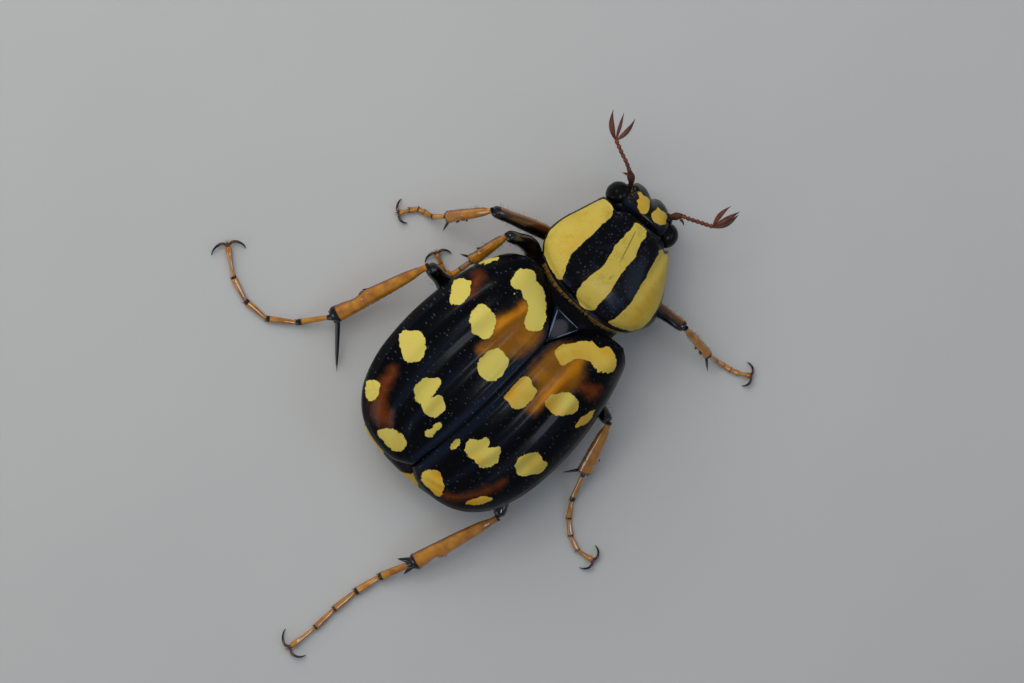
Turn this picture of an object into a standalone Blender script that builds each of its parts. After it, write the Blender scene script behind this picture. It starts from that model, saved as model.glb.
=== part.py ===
# A flower chafer beetle at life size, standing on a level floor on its six feet.
# Every size below is in millimetres, in a frame with +X to the beetle's right, +Y towards its head
# and the floor at Z = 0. placeNode turns a finished mesh into metres.

import math

import bmesh
import bpy
import numpy as np
from mathutils import Matrix, Vector

millimetre = 0.001
clearance = 0.3  # space that two neighbouring pieces keep
boxMiddle = (-1.39, -6.08)  # middle of the whole beetle's box, which becomes the origin

# The hind body: wing cases, scutellum, thorax, abdomen and pygidium share one axis.
hindYaw = 1.5  # degrees, turned about the origin
hindShift = 0.05  # its axis lies this far to the right at the origin

elytron = {
    # outer edge of the right wing case, from its base round the shoulder to the tip
    "outer": [(3.9, 2.0), (4.75, 1.45), (5.45, 0.2), (5.97, -1.5), (6.38, -3.8), (6.45, -6.2),
              (6.12, -8.6), (5.35, -10.4), (4.0, -11.65), (2.35, -12.15), (0.9, -12.1), (0.15, -11.6)],
    # inner edge: beside the scutellum, then down the suture
    "inner": [(1.35, 1.1), (0.75, -0.05), (0.15, -1.25), (0.15, -4.4), (0.15, -7.6), (0.15, -10.6)],
    "innerAt": [0.0, 0.07, 0.14, 0.32, 0.56, 1.0],  # how far along the outer edge each is reached
    "thickness": 0.6,
    "rim": 0.55,  # width of the lower rim
    "roundness": 2.2,  # 2 is an ellipse across, more is flatter on top and steeper at the side
    "marginHeight": 3.4,
    "shoulderLift": 1.2,  # the margin climbs by this much towards the base
    "baseDrop": 0.9,  # the front edge turns down by this much
    "baseBulge": 0.25,  # and bows forward by this much
    "acrossSteps": 11,
    "alongSteps": 26,
}
suture = {"top": 6.0, "topAt": -4.5, "frontFall": 0.012, "rearFall": 2.6, "rearLength": 7.6}
shoulderBump = {"at": (4.0, 0.6), "height": 0.3, "radius": 1.0}
tipBump = {"at": (4.3, -9.7), "height": 0.14, "radius": 1.2}

# The fore body: pronotum and prothorax, turned to the left and sloping down to the head.
foreOrigin = (0.35, 1.95)
foreYaw = 6.0

pronotum = {
    # half width from the rear edge (0) to the front edge (1)
    "halfWidth": [(0.0, 3.5), (0.08, 3.98), (0.2, 4.17), (0.36, 4.13), (0.5, 3.98), (0.63, 3.72),
                  (0.74, 3.38), (0.84, 3.15), (0.92, 2.88), (1.0, 2.6)],
    "crest": [(0.0, 5.05), (0.1, 5.45), (0.3, 5.65), (0.5, 5.5), (0.7, 5.15), (0.86, 4.75), (1.0, 4.25)],
    "rearMargin": 3.75,
    "frontMargin": 2.45,
    "rearBow": 1.3,  # how far the hind angles lie in front of the middle of the rear edge
    "length": 6.05,
    "eyeBay": 0.52,  # depth of the two bays behind the eyes
    "cornerBack": 0.25,  # how far the front corners lie behind the middle of the front edge
    "roundness": 2.3,
    "thickness": 0.55,
    "rim": 0.45,
    "acrossSteps": 18,
    "alongSteps": 14,
}

head = {
    "middle": (-0.57, 8.37),  # half way between the eyes
    "yaw": 5.3,
    # forward distance, height of the top, half width, thickness and slope in degrees of each ring
    "rings": [(-1.2, 3.1, 1.0, 1.1, 0), (-0.75, 3.3, 1.3, 1.5, 4), (-0.1, 3.72, 1.75, 1.95, 6),
              (0.35, 3.66, 1.75, 1.95, 14), (0.78, 3.25, 1.65, 1.6, 28), (1.1, 2.6, 1.55, 1.2, 46),
              (1.28, 1.95, 1.45, 0.85, 62), (1.38, 1.45, 1.25, 0.5, 74)],
    "roundness": 2.6,
    "notch": 0.3,  # depth of the cut in the middle of the front edge
    "notchWidth": 0.32,
    "sides": 20,
}
eye = {"reach": 1.92, "forward": 0.0, "height": 2.55, "radii": (0.72, 0.75, 0.74)}
palp = {"root": (0.5, 0.4, 1.9), "tip": (0.72, 1.05, 1.0), "radius": 0.25, "tipRadius": 0.16}

antennae = {
    "left": {
        "scape": [(-2.68, 9.36, 2.9), (-2.95, 9.42, 3.1), (-3.25, 9.56, 3.3)],
        "stalk": [(-3.25, 9.56, 3.3), (-3.62, 9.73, 3.45), (-4.45, 9.98, 3.55), (-5.22, 10.24, 3.6)],
        "bladeTips": [(-6.7, 11.33, 3.85), (-6.06, 11.67, 3.6), (-5.29, 11.9, 3.45)],
    },
    "right": {
        "scape": [(0.8, 9.66, 2.9), (0.88, 9.84, 3.1), (0.98, 10.02, 3.3)],
        "stalk": [(0.98, 10.02, 3.3), (1.22, 10.12, 3.45), (1.95, 10.5, 3.55), (2.71, 10.89, 3.6)],
        "bladeTips": [(2.46, 12.49, 3.95), (3.05, 12.66, 3.6), (3.3, 12.5, 3.3)],
    },
}
antennaSizes = {"scape": [0.22, 0.33, 0.27], "stalk": 0.25, "bladeWidth": 0.26, "bladeDepth": 0.25}

scutellum = {"corners": [(-0.85, 0.95), (0.85, 0.95), (0.0, -0.85)], "top": 5.75, "thickness": 0.6, "lip": 0.12}

# Rings of the trunk: distance along the axis, half width of the top part and of the flank,
# height of the top, of the waist and of the belly.
thoraxRings = [(1.4, 2.2, 2.0, 3.4, 2.9, 1.95), (0.7, 3.3, 3.4, 3.85, 3.0, 1.85),
               (-0.6, 4.6, 4.7, 4.7, 3.1, 1.75), (-2.0, 5.0, 5.15, 4.85, 3.15, 1.7),
               (-3.4, 5.3, 5.55, 4.95, 3.2, 1.75)]
abdomen = {"front": -3.75, "rear": -11.0, "plates": 5, "step": 0.1, "belly": 1.8, "rearBelly": 2.1,
           "waist": 3.2, "flank": 2.85}
trunkRoundness = 2.2
trunkTopPoints = 11

pygidium = {"front": -11.35, "rear": -12.35, "halfWidth": 3.9, "middle": 2.15, "halfHeight": 0.7}

prothoraxRings = [(1.0, 2.6, 4.35, 3.0, 1.9), (1.9, 3.1, 4.6, 2.85, 1.6), (3.0, 2.85, 4.4, 2.65, 1.5),
                  (4.1, 2.3, 4.05, 2.55, 1.6), (4.9, 1.55, 3.55, 2.45, 1.85)]

# Coxae are rounded bumps under the trunk, one at the root of each leg.
coxaRadii = (0.75, 0.6, 0.6)
coxae = {
    "prothorax": {"front_left": (-1.5, 4.25, 1.55), "front_right": (1.35, 4.65, 1.5)},
    "thorax": {"middle_left": (-1.25, 0.55, 1.55), "middle_right": (1.45, -0.25, 1.5),
               "hind_left": (-1.35, -2.75, 1.5), "hind_right": (1.6, -2.85, 1.5)},
}

# Each leg: points of the thigh, the shin, and the joints of the foot out to its tip.
legs = {
    "front_left": {
        "thigh": [(-2.82, 3.9, 1.7), (-4.9, 3.15, 2.75), (-7.42, 2.18, 4.0)],
        "shin": [(-7.42, 2.18, 4.0), (-8.4, 0.0, 1.3)],
        "foot": [(-8.55, -0.38, 0.9), (-8.8, -0.6, 0.4), (-9.25, -0.75, 0.2), (-9.67, -0.9, 0.2),
                 (-10.0, -1.3, 0.2), (-10.3, -1.82, 0.2)],
        "spurs": [(-7.75, -0.75, 0.5)],
        "teeth": [0.62, 0.82],
        "toothSide": -1,
    },
    "front_right": {
        "thigh": [(2.7, 4.86, 1.5), (4.3, 5.22, 2.15), (6.2, 5.61, 2.9)],
        "shin": [(6.2, 5.61, 2.9), (8.9, 5.55, 1.25)],
        "foot": [(9.35, 5.58, 0.95), (9.75, 5.68, 0.4), (10.3, 5.8, 0.2), (10.8, 5.92, 0.2),
                 (11.3, 6.1, 0.2), (11.95, 6.54, 0.2)],
        "spurs": [(9.35, 4.85, 0.6)],
        "teeth": [0.62, 0.82],
        "toothSide": 1,
    },
    "middle_left": {
        "thigh": [(-2.25, 1.15, 1.3), (-3.8, 2.3, 2.7), (-5.85, 1.8, 4.5)],
        "shin": [(-5.85, 1.8, 4.5), (-5.5, -0.7, 1.6)],
        "foot": [(-5.42, -1.05, 1.15), (-5.32, -1.5, 0.5), (-5.35, -2.1, 0.2), (-5.8, -2.35, 0.2),
                 (-6.35, -2.2, 0.2), (-6.95, -1.9, 0.2)],
        "spurs": [(-6.2, -0.95, 1.15)],
        "teeth": [0.69],
        "toothSide": 1,
    },
    "middle_right": {
        "thigh": [(2.65, -0.5, 1.15), (4.9, -1.0, 1.6), (7.12, -1.54, 2.9)],
        "shin": [(7.12, -1.54, 2.9), (8.8, -4.66, 1.15)],
        "foot": [(8.98, -4.98, 0.95), (9.79, -6.37, 0.3), (10.51, -7.25, 0.2), (11.37, -7.89, 0.2),
                 (12.29, -8.21, 0.2), (13.42, -7.98, 0.2)],
        "spurs": [(8.05, -5.6, 0.5)],
        "teeth": [0.72],
        "toothSide": -1,
    },
    "hind_left": {
        "thigh": [(-2.45, -2.85, 1.0), (-4.8, -2.8, 1.5), (-7.33, -2.75, 2.6)],
        "shin": [(-7.33, -2.75, 2.6), (-8.8, -8.95, 1.0)],
        "foot": [(-8.92, -9.3, 0.85), (-9.87, -10.68, 0.3), (-11.28, -11.79, 0.2), (-12.91, -11.93, 0.2),
                 (-14.46, -11.46, 0.2), (-16.09, -10.37, 0.2)],
        "spurs": [(-6.02, -11.03, 0.3), (-7.1, -10.4, 0.35)],
        "teeth": [0.62],
        "toothSide": 1,
    },
    "hind_right": {
        "thigh": [(2.5, -3.6, 1.0), (4.8, -7.05, 1.4), (6.8, -10.16, 2.2)],
        "shin": [(6.8, -10.16, 2.2), (5.45, -15.8, 1.05)],
        "foot": [(5.28, -16.34, 0.9), (4.89, -17.8, 0.3), (4.54, -19.44, 0.2), (4.4, -21.06, 0.2),
                 (4.4, -22.63, 0.2), (4.18, -24.53, 0.2)],
        "spurs": [(6.1, -16.95, 0.5), (4.4, -16.0, 0.6)],
        "teeth": [0.66],
        "toothSide": -1,
    },
}
legSizes = {
    "front": {"thigh": 0.42, "knee": 0.33, "shinRoot": 0.27, "shin": 0.4},
    "middle": {"thigh": 0.48, "knee": 0.33, "shinRoot": 0.26, "shin": 0.36},
    "hind": {"thigh": 0.6, "knee": 0.38, "shinRoot": 0.27, "shin": 0.47},
}
shinDepth = 0.72  # a shin and a thigh are flattened to this share of their width
footRadius = 0.26
clawReach = (0.62, 1.05)  # sideways reach of a claw at its bend and at its tip
tubeSides = 8

colours = {
    "black cuticle": ((0.012, 0.013, 0.018), 0.25),
    "pronotum yellow": ((0.66, 0.46, 0.09), 0.3),
    "leg amber": ((0.45, 0.2, 0.02), 0.25),
    "antenna brown": ((0.18, 0.06, 0.025), 0.4),
    "eye black": ((0.01, 0.01, 0.012), 0.1),
}


# Shared helpers

def smoothProfile(points, where):
    """Height of a smooth curve through (position, height) points."""
    at = np.array([p[0] for p in points], float)
    height = np.array([p[1] for p in points], float)
    slope = np.gradient(height, at)
    where = np.clip(where, at[0], at[-1])
    i = np.clip(np.searchsorted(at, where, side="right") - 1, 0, len(at) - 2)
    span = at[i + 1] - at[i]
    f = (where - at[i]) / span
    return ((2 * f**3 - 3 * f**2 + 1) * height[i] + (f**3 - 2 * f**2 + f) * span * slope[i]
            + (3 * f**2 - 2 * f**3) * height[i + 1] + (f**3 - f**2) * span * slope[i + 1])


def smoothPath(points, where):
    """Point at each share (0 to 1) of the length of a smooth path through the points."""
    points = np.array(points, float)
    steps = np.linalg.norm(np.diff(points, axis=0), axis=1)
    at = np.concatenate([[0.0], np.cumsum(steps)]) / steps.sum()
    return np.stack([smoothProfile(list(zip(at, column)), where) for column in points.T], axis=-1)


def superCurve(value, roundness):
    """Signed power that turns a circle's sine or cosine into a superellipse's."""
    return math.copysign(abs(value) ** (2 / roundness), value)


def dome(share, roundness):
    """Height, 1 to 0, of a superellipse at a share 0 to 1 of its half width."""
    return max(0.0, 1 - min(1.0, abs(share)) ** roundness) ** (1 / roundness)


def bump(x, y, size):
    """Height of one low round bump of the surface at a point."""
    distance = (x - size["at"][0]) ** 2 + (y - size["at"][1]) ** 2
    return size["height"] * math.exp(-distance / size["radius"] ** 2)


def turned(x, y, z, yaw, origin):
    """Point of a frame that is turned by yaw degrees, in the beetle's frame."""
    c = math.cos(math.radians(yaw))
    s = math.sin(math.radians(yaw))
    return Vector((origin[0] + x * c - y * s, origin[1] + x * s + y * c, z))


def hindPoint(x, y, z):
    return turned(x, y, z, hindYaw, (hindShift, 0.0))


def forePoint(x, y, z):
    return turned(x, y, z, foreYaw, foreOrigin)


def headPoint(x, y, z):
    return turned(x, y, z, head["yaw"], head["middle"])


# Building and placing meshes

def material(name):
    colour, roughness = colours[name]
    made = bpy.data.materials.get(name)
    if made is None:
        made = bpy.data.materials.new(name)
        made.use_nodes = True
        made.diffuse_color = (*colour, 1)
        shader = made.node_tree.nodes["Principled BSDF"]
        shader.inputs["Base Color"].default_value = (*colour, 1)
        shader.inputs["Roughness"].default_value = roughness
        shader.inputs["Metallic"].default_value = 0
    return made


def meshFrom(bm):
    """Closed mesh with its faces turned outwards."""
    bmesh.ops.recalc_face_normals(bm, faces=bm.faces)
    if bm.calc_volume(signed=True) < 0:
        bmesh.ops.reverse_faces(bm, faces=bm.faces)
    made = bpy.data.meshes.new("piece")
    bm.to_mesh(made)
    bm.free()
    return made


def keepLargest(mesh):
    """Keeps the largest closed surface of a fused mesh."""
    bm = bmesh.new()
    bm.from_mesh(mesh)
    left = set(bm.faces)
    islands = []
    while left:
        island = {left.pop()}
        front = list(island)
        while front:
            face = front.pop()
            for edge in face.edges:
                for other in edge.link_faces:
                    if other in left:
                        left.remove(other)
                        island.add(other)
                        front.append(other)
        islands.append(island)
    largest = max(islands, key=lambda faces: sum(face.calc_area() for face in faces))
    loose = [face for face in bm.faces if face not in largest]
    bmesh.ops.delete(bm, geom=loose, context="FACES")
    bm.to_mesh(mesh)
    bm.free()
    return mesh


def combined(meshes, operation):
    """The first mesh joined with, or cut by, all the others."""
    base = bpy.data.objects.new("base", meshes[0])
    bpy.context.scene.collection.objects.link(base)
    others = bpy.data.collections.new("others")
    bpy.context.scene.collection.children.link(others)
    for mesh in meshes[1:]:
        others.objects.link(bpy.data.objects.new("other", mesh))
    modifier = base.modifiers.new("Combine", "BOOLEAN")
    modifier.operation = operation
    modifier.operand_type = "COLLECTION"
    modifier.collection = others
    modifier.solver = "EXACT"
    graph = bpy.context.evaluated_depsgraph_get()
    result = bpy.data.meshes.new_from_object(base.evaluated_get(graph))
    for helper in [base, *others.objects]:
        bpy.data.objects.remove(helper)
    bpy.data.collections.remove(others)
    return keepLargest(result)


def placeNode(name, mesh, finish, pivot):
    """Object in metres whose origin is its pivot, parented to the beetle's empty."""
    mesh.transform(Matrix.Translation(-Vector(pivot)))
    mesh.transform(Matrix.Scale(millimetre, 4))
    mesh.materials.clear()
    mesh.materials.append(material(finish))
    mesh.shade_smooth()
    mesh.set_sharp_from_angle(angle=math.radians(40))
    node = bpy.data.objects.new(name, mesh)
    node.location = Vector(pivot) * millimetre
    node.parent = beetle
    bpy.context.scene.collection.objects.link(node)
    return node


def sheetSolid(acrossSteps, alongSteps, topPoint, bottomPoint):
    """Closed shell between two surfaces, each given as a function of two shares from 0 to 1."""
    bm = bmesh.new()
    bmesh.ops.create_grid(bm, x_segments=acrossSteps, y_segments=alongSteps, size=0.5)
    bmesh.ops.triangulate(bm, faces=bm.faces)
    low = list(bm.verts)
    made = bmesh.ops.extrude_face_region(bm, geom=bm.faces[:])["geom"]
    high = [part for part in made if isinstance(part, bmesh.types.BMVert)]
    for vert in low:
        vert.co = bottomPoint(vert.co.x + 0.5, vert.co.y + 0.5)
    for vert in high:
        vert.co = topPoint(vert.co.x + 0.5, vert.co.y + 0.5)
    return meshFrom(bm)


def loft(ringCount, sides, ringPoint):
    """Closed body through rings, ringPoint(ring, corner) giving each corner's place."""
    bm = bmesh.new()
    corner = bm.verts.layers.int.new("corner")
    verts = bmesh.ops.create_circle(bm, cap_ends=True, segments=sides, radius=1)["verts"]
    for index, vert in enumerate(verts):
        vert[corner] = index
        vert.co = ringPoint(0, index)
    edges = bm.edges[:]
    for ring in range(1, ringCount):
        made = bmesh.ops.extrude_edge_only(bm, edges=edges)["geom"]
        edges = [part for part in made if isinstance(part, bmesh.types.BMEdge)]
        for vert in {vert for edge in edges for vert in edge.verts}:
            vert.co = ringPoint(ring, vert[corner])
    bmesh.ops.contextual_create(bm, geom=edges)
    return meshFrom(bm)


def tube(path, widths, depths, sides=tubeSides, lowest=None):
    """Closed tube along a path, with its half widths and half depths. It lies flat on lowest."""
    path = [Vector(point) for point in path]
    frames = []
    for index in range(len(path)):
        before = path[max(index - 1, 0)]
        after = path[min(index + 1, len(path) - 1)]
        along = (after - before).normalized()
        side = along.cross(Vector((0, 0, 1))).normalized()
        frames.append((side, side.cross(along)))

    def ringPoint(ring, index):
        angle = 2 * math.pi * (index + 0.5) / sides
        side, up = frames[ring]
        point = path[ring] + side * (widths[ring] * math.cos(angle)) + up * (depths[ring] * math.sin(angle))
        if lowest is not None:
            point.z = max(point.z, lowest)
        return point

    return loft(len(path), sides, ringPoint)


def ellipsoid(centre, radii, subdivisions, yaw=0.0):
    bm = bmesh.new()
    bmesh.ops.create_icosphere(bm, subdivisions=subdivisions, radius=1)
    bmesh.ops.scale(bm, vec=radii, verts=bm.verts)
    bmesh.ops.rotate(bm, cent=(0, 0, 0), matrix=Matrix.Rotation(math.radians(yaw), 3, "Z"), verts=bm.verts)
    bmesh.ops.translate(bm, vec=centre, verts=bm.verts)
    return meshFrom(bm)


# Wing cases

def sutureHeight(y):
    """Height of the wing cases over the suture."""
    if y > suture["topAt"]:
        return suture["top"] - suture["frontFall"] * (y - suture["topAt"]) ** 2
    share = (suture["topAt"] - y) / suture["rearLength"]
    return suture["top"] - suture["rearFall"] * share**2.4


def elytronPoint(across, along, below):
    """Point of the right wing case: its top, or its underside where below is True."""
    outer = smoothPath(elytron["outer"], along)
    ahead = smoothPath(elytron["outer"], min(along + 0.01, 1.0))
    behind = smoothPath(elytron["outer"], max(along - 0.01, 0.0))
    innerX = smoothProfile([(at, p[0]) for at, p in zip(elytron["innerAt"], elytron["inner"])], along)
    innerY = smoothProfile([(at, p[1]) for at, p in zip(elytron["innerAt"], elytron["inner"])], along)
    innerX = max(innerX, clearance / 2)
    margin = elytron["marginHeight"] + elytron["shoulderLift"] * math.exp(-((along / 0.08) ** 1.5))
    crest = sutureHeight(innerY)
    if below:
        tangent = (ahead - behind) / np.linalg.norm(ahead - behind)
        outer = outer + elytron["rim"] * np.array([tangent[1], -tangent[0]])
        outer[0] = max(outer[0], clearance / 2)
        margin -= 0.1
        crest -= elytron["thickness"]
    x = innerX + (outer[0] - innerX) * across
    y = innerY + (outer[1] - innerY) * across
    z = margin + (crest - margin) * dome(across, elytron["roundness"])
    nearBase = max(0.0, 1 - along / 0.09) ** 2
    z -= elytron["baseDrop"] * nearBase * dome(across, 2)
    y += elytron["baseBulge"] * math.sin(math.pi * across) * nearBase
    if below:
        y -= 0.3 * nearBase
    return x, y, z + bump(x, y, shoulderBump) + bump(x, y, tipBump)


def makeElytra():
    for side, sign in (("left", -1), ("right", 1)):
        def surface(below, sign=sign):
            def point(across, along):
                x, y, z = elytronPoint(across, along, below)
                return hindPoint(sign * x, y, z)
            return point

        mesh = sheetSolid(elytron["acrossSteps"], elytron["alongSteps"], surface(False), surface(True))
        placeNode(f"elytron_{side}", mesh, "black cuticle", hindPoint(sign * 1.35, 1.1, 5.0))


def halfWidthAt(y):
    """Half width of both wing cases together at a distance along the axis."""
    shares = np.linspace(0.0, 0.82, 60)
    points = smoothPath(elytron["outer"], shares)
    return float(np.interp(-y, -points[:, 1], points[:, 0]))


# Pronotum and the prothorax under it

def pronotumPoint(across, along, below):
    """Point of the pronotum: its top, or its underside where below is True."""
    share = 2 * across - 1
    halfWidth = float(smoothProfile(pronotum["halfWidth"], along))
    crest = float(smoothProfile(pronotum["crest"], along))
    margin = pronotum["rearMargin"] + (pronotum["frontMargin"] - pronotum["rearMargin"]) * along
    edgeX = share * halfWidth
    rear = pronotum["rearBow"] * (abs(edgeX) / 4.1) ** 3
    front = pronotum["length"] - pronotum["eyeBay"] * math.exp(-(((abs(edgeX) - 2.05) / 0.45) ** 2))
    front -= pronotum["cornerBack"] * (abs(edgeX) / 2.3) ** 4
    if below:
        edgeX = share * (halfWidth - pronotum["rim"])
        crest -= pronotum["thickness"]
        margin -= 0.05
        rear += 0.35
        front -= 0.3
    z = margin + (crest - margin) * dome(share, pronotum["roundness"])
    return forePoint(edgeX, rear + (front - rear) * along, z)


def makePronotum():
    mesh = sheetSolid(pronotum["acrossSteps"], pronotum["alongSteps"],
                      lambda across, along: pronotumPoint(across, along, False),
                      lambda across, along: pronotumPoint(across, along, True))
    placeNode("pronotum", mesh, "pronotum yellow", forePoint(0, 0.5, 5.0))


def makeProthorax():
    sides = 18

    def ringPoint(ring, index):
        along, halfWidth, top, waist, belly = prothoraxRings[ring]
        angle = 2 * math.pi * index / sides
        reach = top - waist if math.sin(angle) > 0 else waist - belly
        return forePoint(halfWidth * superCurve(math.cos(angle), trunkRoundness), along,
                         waist + reach * superCurve(math.sin(angle), trunkRoundness))

    body = loft(len(prothoraxRings), sides, ringPoint)
    roots = [ellipsoid(centre, coxaRadii, 2) for centre in coxae["prothorax"].values()]
    placeNode("prothorax", combined([body, *roots], "UNION"), "black cuticle", forePoint(0, 3.0, 3.0))


# Scutellum, thorax, abdomen and pygidium

def makeScutellum():
    bm = bmesh.new()
    corners = [bm.verts.new(hindPoint(x, y, scutellum["top"] - scutellum["thickness"]))
               for x, y in scutellum["corners"]]
    base = bm.faces.new(corners)
    raised = bmesh.ops.extrude_face_region(bm, geom=[base])["geom"]
    top = [part for part in raised if isinstance(part, bmesh.types.BMFace)]
    bmesh.ops.translate(bm, vec=(0, 0, scutellum["thickness"]),
                        verts=[part for part in raised if isinstance(part, bmesh.types.BMVert)])
    bmesh.ops.inset_region(bm, faces=top, thickness=scutellum["lip"], depth=-scutellum["lip"] / 2)
    placeNode("scutellum", meshFrom(bm), "black cuticle", hindPoint(0, 0.9, scutellum["top"]))


def trunkRing(y, topWidth, flankWidth, top, waist, flank, belly):
    """Corner places of one ring: the rounded top first, then the flanks and the belly."""
    def point(index):
        last = trunkTopPoints - 1
        if index <= last:
            angle = math.pi * index / last
            width, middle, reach = topWidth, waist, top - waist
        else:
            angle = math.pi + math.pi * (index - last - 1) / last
            width, middle, reach = flankWidth, flank, flank - belly
        return hindPoint(width * superCurve(math.cos(angle), trunkRoundness), y,
                         middle + reach * superCurve(math.sin(angle), trunkRoundness))
    return point


def makeThorax():
    rings = [trunkRing(y, topWidth, flankWidth, top, waist, waist - 0.3, belly)
             for y, topWidth, flankWidth, top, waist, belly in thoraxRings]
    body = loft(len(rings), 2 * trunkTopPoints, lambda ring, index: rings[ring](index))
    roots = [ellipsoid(centre, coxaRadii, 2) for centre in coxae["thorax"].values()]
    placeNode("thorax", combined([body, *roots], "UNION"), "black cuticle", hindPoint(0, -1.0, 3.0))


def makeAbdomen():
    rings = []
    length = abdomen["front"] - abdomen["rear"]
    for plate in range(abdomen["plates"]):
        for place, step in ((0.0, abdomen["step"]), (0.92, 0.0)):
            share = (plate + place) / (abdomen["plates"] - 0.08)
            y = abdomen["front"] - length * share
            belly = abdomen["belly"] + (abdomen["rearBelly"] - abdomen["belly"]) * share**2
            halfWidth = halfWidthAt(y)
            top = sutureHeight(y) - elytron["thickness"] - clearance - 0.1 - 0.5 * share**3
            rings.append(trunkRing(y, halfWidth - 0.95 - 0.5 * share**4, halfWidth - 0.35 - step / 2, top,
                                   abdomen["waist"], abdomen["flank"], belly + step))
    mesh = loft(len(rings), 2 * trunkTopPoints, lambda ring, index: rings[ring](index))
    placeNode("abdomen", mesh, "black cuticle", hindPoint(0, abdomen["front"], 3.0))


def makePygidium():
    shares = [0.0, 0.45, 0.8, 0.95, 1.0]
    sides = 18

    def ringPoint(ring, index):
        share = shares[ring]
        size = 1.0 if share == 0 else max(0.15, (1 - share**3) ** 0.5)
        angle = 2 * math.pi * index / sides
        y = pygidium["front"] + (pygidium["rear"] - pygidium["front"]) * share
        return hindPoint(pygidium["halfWidth"] * size * superCurve(math.cos(angle), 2.4), y,
                         pygidium["middle"] + pygidium["halfHeight"] * size**0.7 * math.sin(angle))

    mesh = loft(len(shares), sides, ringPoint)
    placeNode("pygidium", mesh, "black cuticle", hindPoint(0, pygidium["front"], pygidium["middle"]))


# Head, eyes and antennae

def eyePlace(sign):
    return headPoint(sign * eye["reach"], eye["forward"], eye["height"])


def makeHead():
    sides = head["sides"]

    def ringPoint(ring, index):
        forward, top, halfWidth, thickness, slope = head["rings"][ring]
        angle = 2 * math.pi * (index + 0.5) / sides
        across = halfWidth * superCurve(math.cos(angle), head["roundness"])
        lift = thickness / 2 * (superCurve(math.sin(angle), head["roundness"]) - 1)
        front = max(0.0, ring / (len(head["rings"]) - 1) - 0.55) / 0.45
        lift -= head["notch"] * front * math.exp(-((across / head["notchWidth"]) ** 2)) * (angle < math.pi)
        tilt = math.radians(slope)
        return headPoint(across, forward + lift * math.sin(tilt), top + lift * math.cos(tilt))

    parts = [loft(len(head["rings"]), sides, ringPoint)]
    for sign in (-1, 1):
        root = headPoint(sign * palp["root"][0], *palp["root"][1:])
        tip = headPoint(sign * palp["tip"][0], *palp["tip"][1:])
        middle = (root + tip) / 2
        radii = [palp["radius"], palp["radius"], palp["tipRadius"]]
        parts.append(tube([root, middle, tip], radii, radii, 6))
    whole = combined(parts, "UNION")
    socketRadii = [radius + clearance for radius in eye["radii"]]
    sockets = [ellipsoid(eyePlace(sign), socketRadii, 3, head["yaw"]) for sign in (-1, 1)]
    placeNode("head", combined([whole, *sockets], "DIFFERENCE"), "black cuticle", headPoint(0, -1.2, 2.7))
    for side, sign in (("left", -1), ("right", 1)):
        mesh = ellipsoid(eyePlace(sign), eye["radii"], 3, head["yaw"])
        placeNode(f"eye_{side}", mesh, "eye black", eyePlace(sign))


def bladeMesh(root, tip):
    """One flat blade of the club, widest in the middle and pointed at its tip."""
    shares = [0.0, 0.2, 0.55, 0.85, 1.0]
    widths = [antennaSizes["bladeWidth"] * size for size in (0.7, 0.95, 1.0, 0.7, 0.2)]
    depths = [antennaSizes["bladeDepth"] * size for size in (0.8, 1.0, 1.0, 0.7, 0.25)]
    path = [Vector(root).lerp(Vector(tip), share) for share in shares]
    return tube(path, widths, depths)


def makeAntennae():
    for side, shape in antennae.items():
        scapeSize = antennaSizes["scape"]
        stalkSize = [antennaSizes["stalk"]] * len(shape["stalk"])
        parts = [tube(shape["scape"], scapeSize, scapeSize), tube(shape["stalk"], stalkSize, stalkSize)]
        clubRoot = Vector(shape["stalk"][-1]).lerp(Vector(shape["stalk"][-2]), 0.2)
        parts += [bladeMesh(clubRoot, tip) for tip in shape["bladeTips"]]
        placeNode(f"antenna_{side}", combined(parts, "UNION"), "antenna brown", shape["scape"][0])


# Legs

def spurMesh(root, tip, radius):
    shares = (0.0, 0.5, 0.9, 1.0)
    path = [Vector(root).lerp(Vector(tip), share) for share in shares]
    sizes = [radius, radius * 0.75, radius * 0.35, radius * 0.15]
    return tube(path, sizes, sizes, 6)


def makeThigh(name, shape, size):
    path = [Vector(point) for point in shape["thigh"]]
    last = path[-1] - path[-2]
    path[-1] = path[-1] - last.normalized() * (size["shinRoot"] + clearance * 1.45)
    shares = np.linspace(0, 1, 6)
    points = smoothPath(path, shares)
    widths = [size["thigh"] * grow for grow in (0.8, 1.0, 1.05, 1.0, 0.85)] + [size["knee"]]
    depths = [width * shinDepth for width in widths[:-1]] + [size["knee"] * 0.85]
    placeNode(f"thigh_{name}", tube(points, widths, depths), "black cuticle", points[0])


def makeShin(name, shape, size):
    knee, heel = (Vector(point) for point in shape["shin"])
    along = (heel - knee).normalized()
    side = along.cross(Vector((0, 0, 1))).normalized() * shape["toothSide"]
    shares = (0.0, 0.1, 0.45, 0.75, 0.94, 1.0)
    widths = [size["shinRoot"], size["shinRoot"], size["shin"] * 0.82, size["shin"], size["shin"] * 0.95,
              size["shin"] * 0.8]
    depths = [size["shinRoot"]] + [max(0.25, width * shinDepth) for width in widths[1:]]
    parts = [tube([knee.lerp(heel, share) for share in shares], widths, depths)]
    for share in shape["teeth"]:
        root = knee.lerp(heel, share - 0.04) + side * size["shin"] * 0.4
        tip = knee.lerp(heel, share + 0.02) + side * size["shin"] * 1.35
        parts.append(spurMesh(root, tip, 0.2))
    for tip in shape["spurs"]:
        aside = Vector(tip) - heel
        aside -= along * aside.dot(along)
        root = heel - along * 0.25 + aside.normalized() * size["shin"] * 0.5
        parts.append(spurMesh(root, tip, 0.2))
    placeNode(f"shin_{name}", combined(parts, "UNION"), "leg amber", knee)


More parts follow.
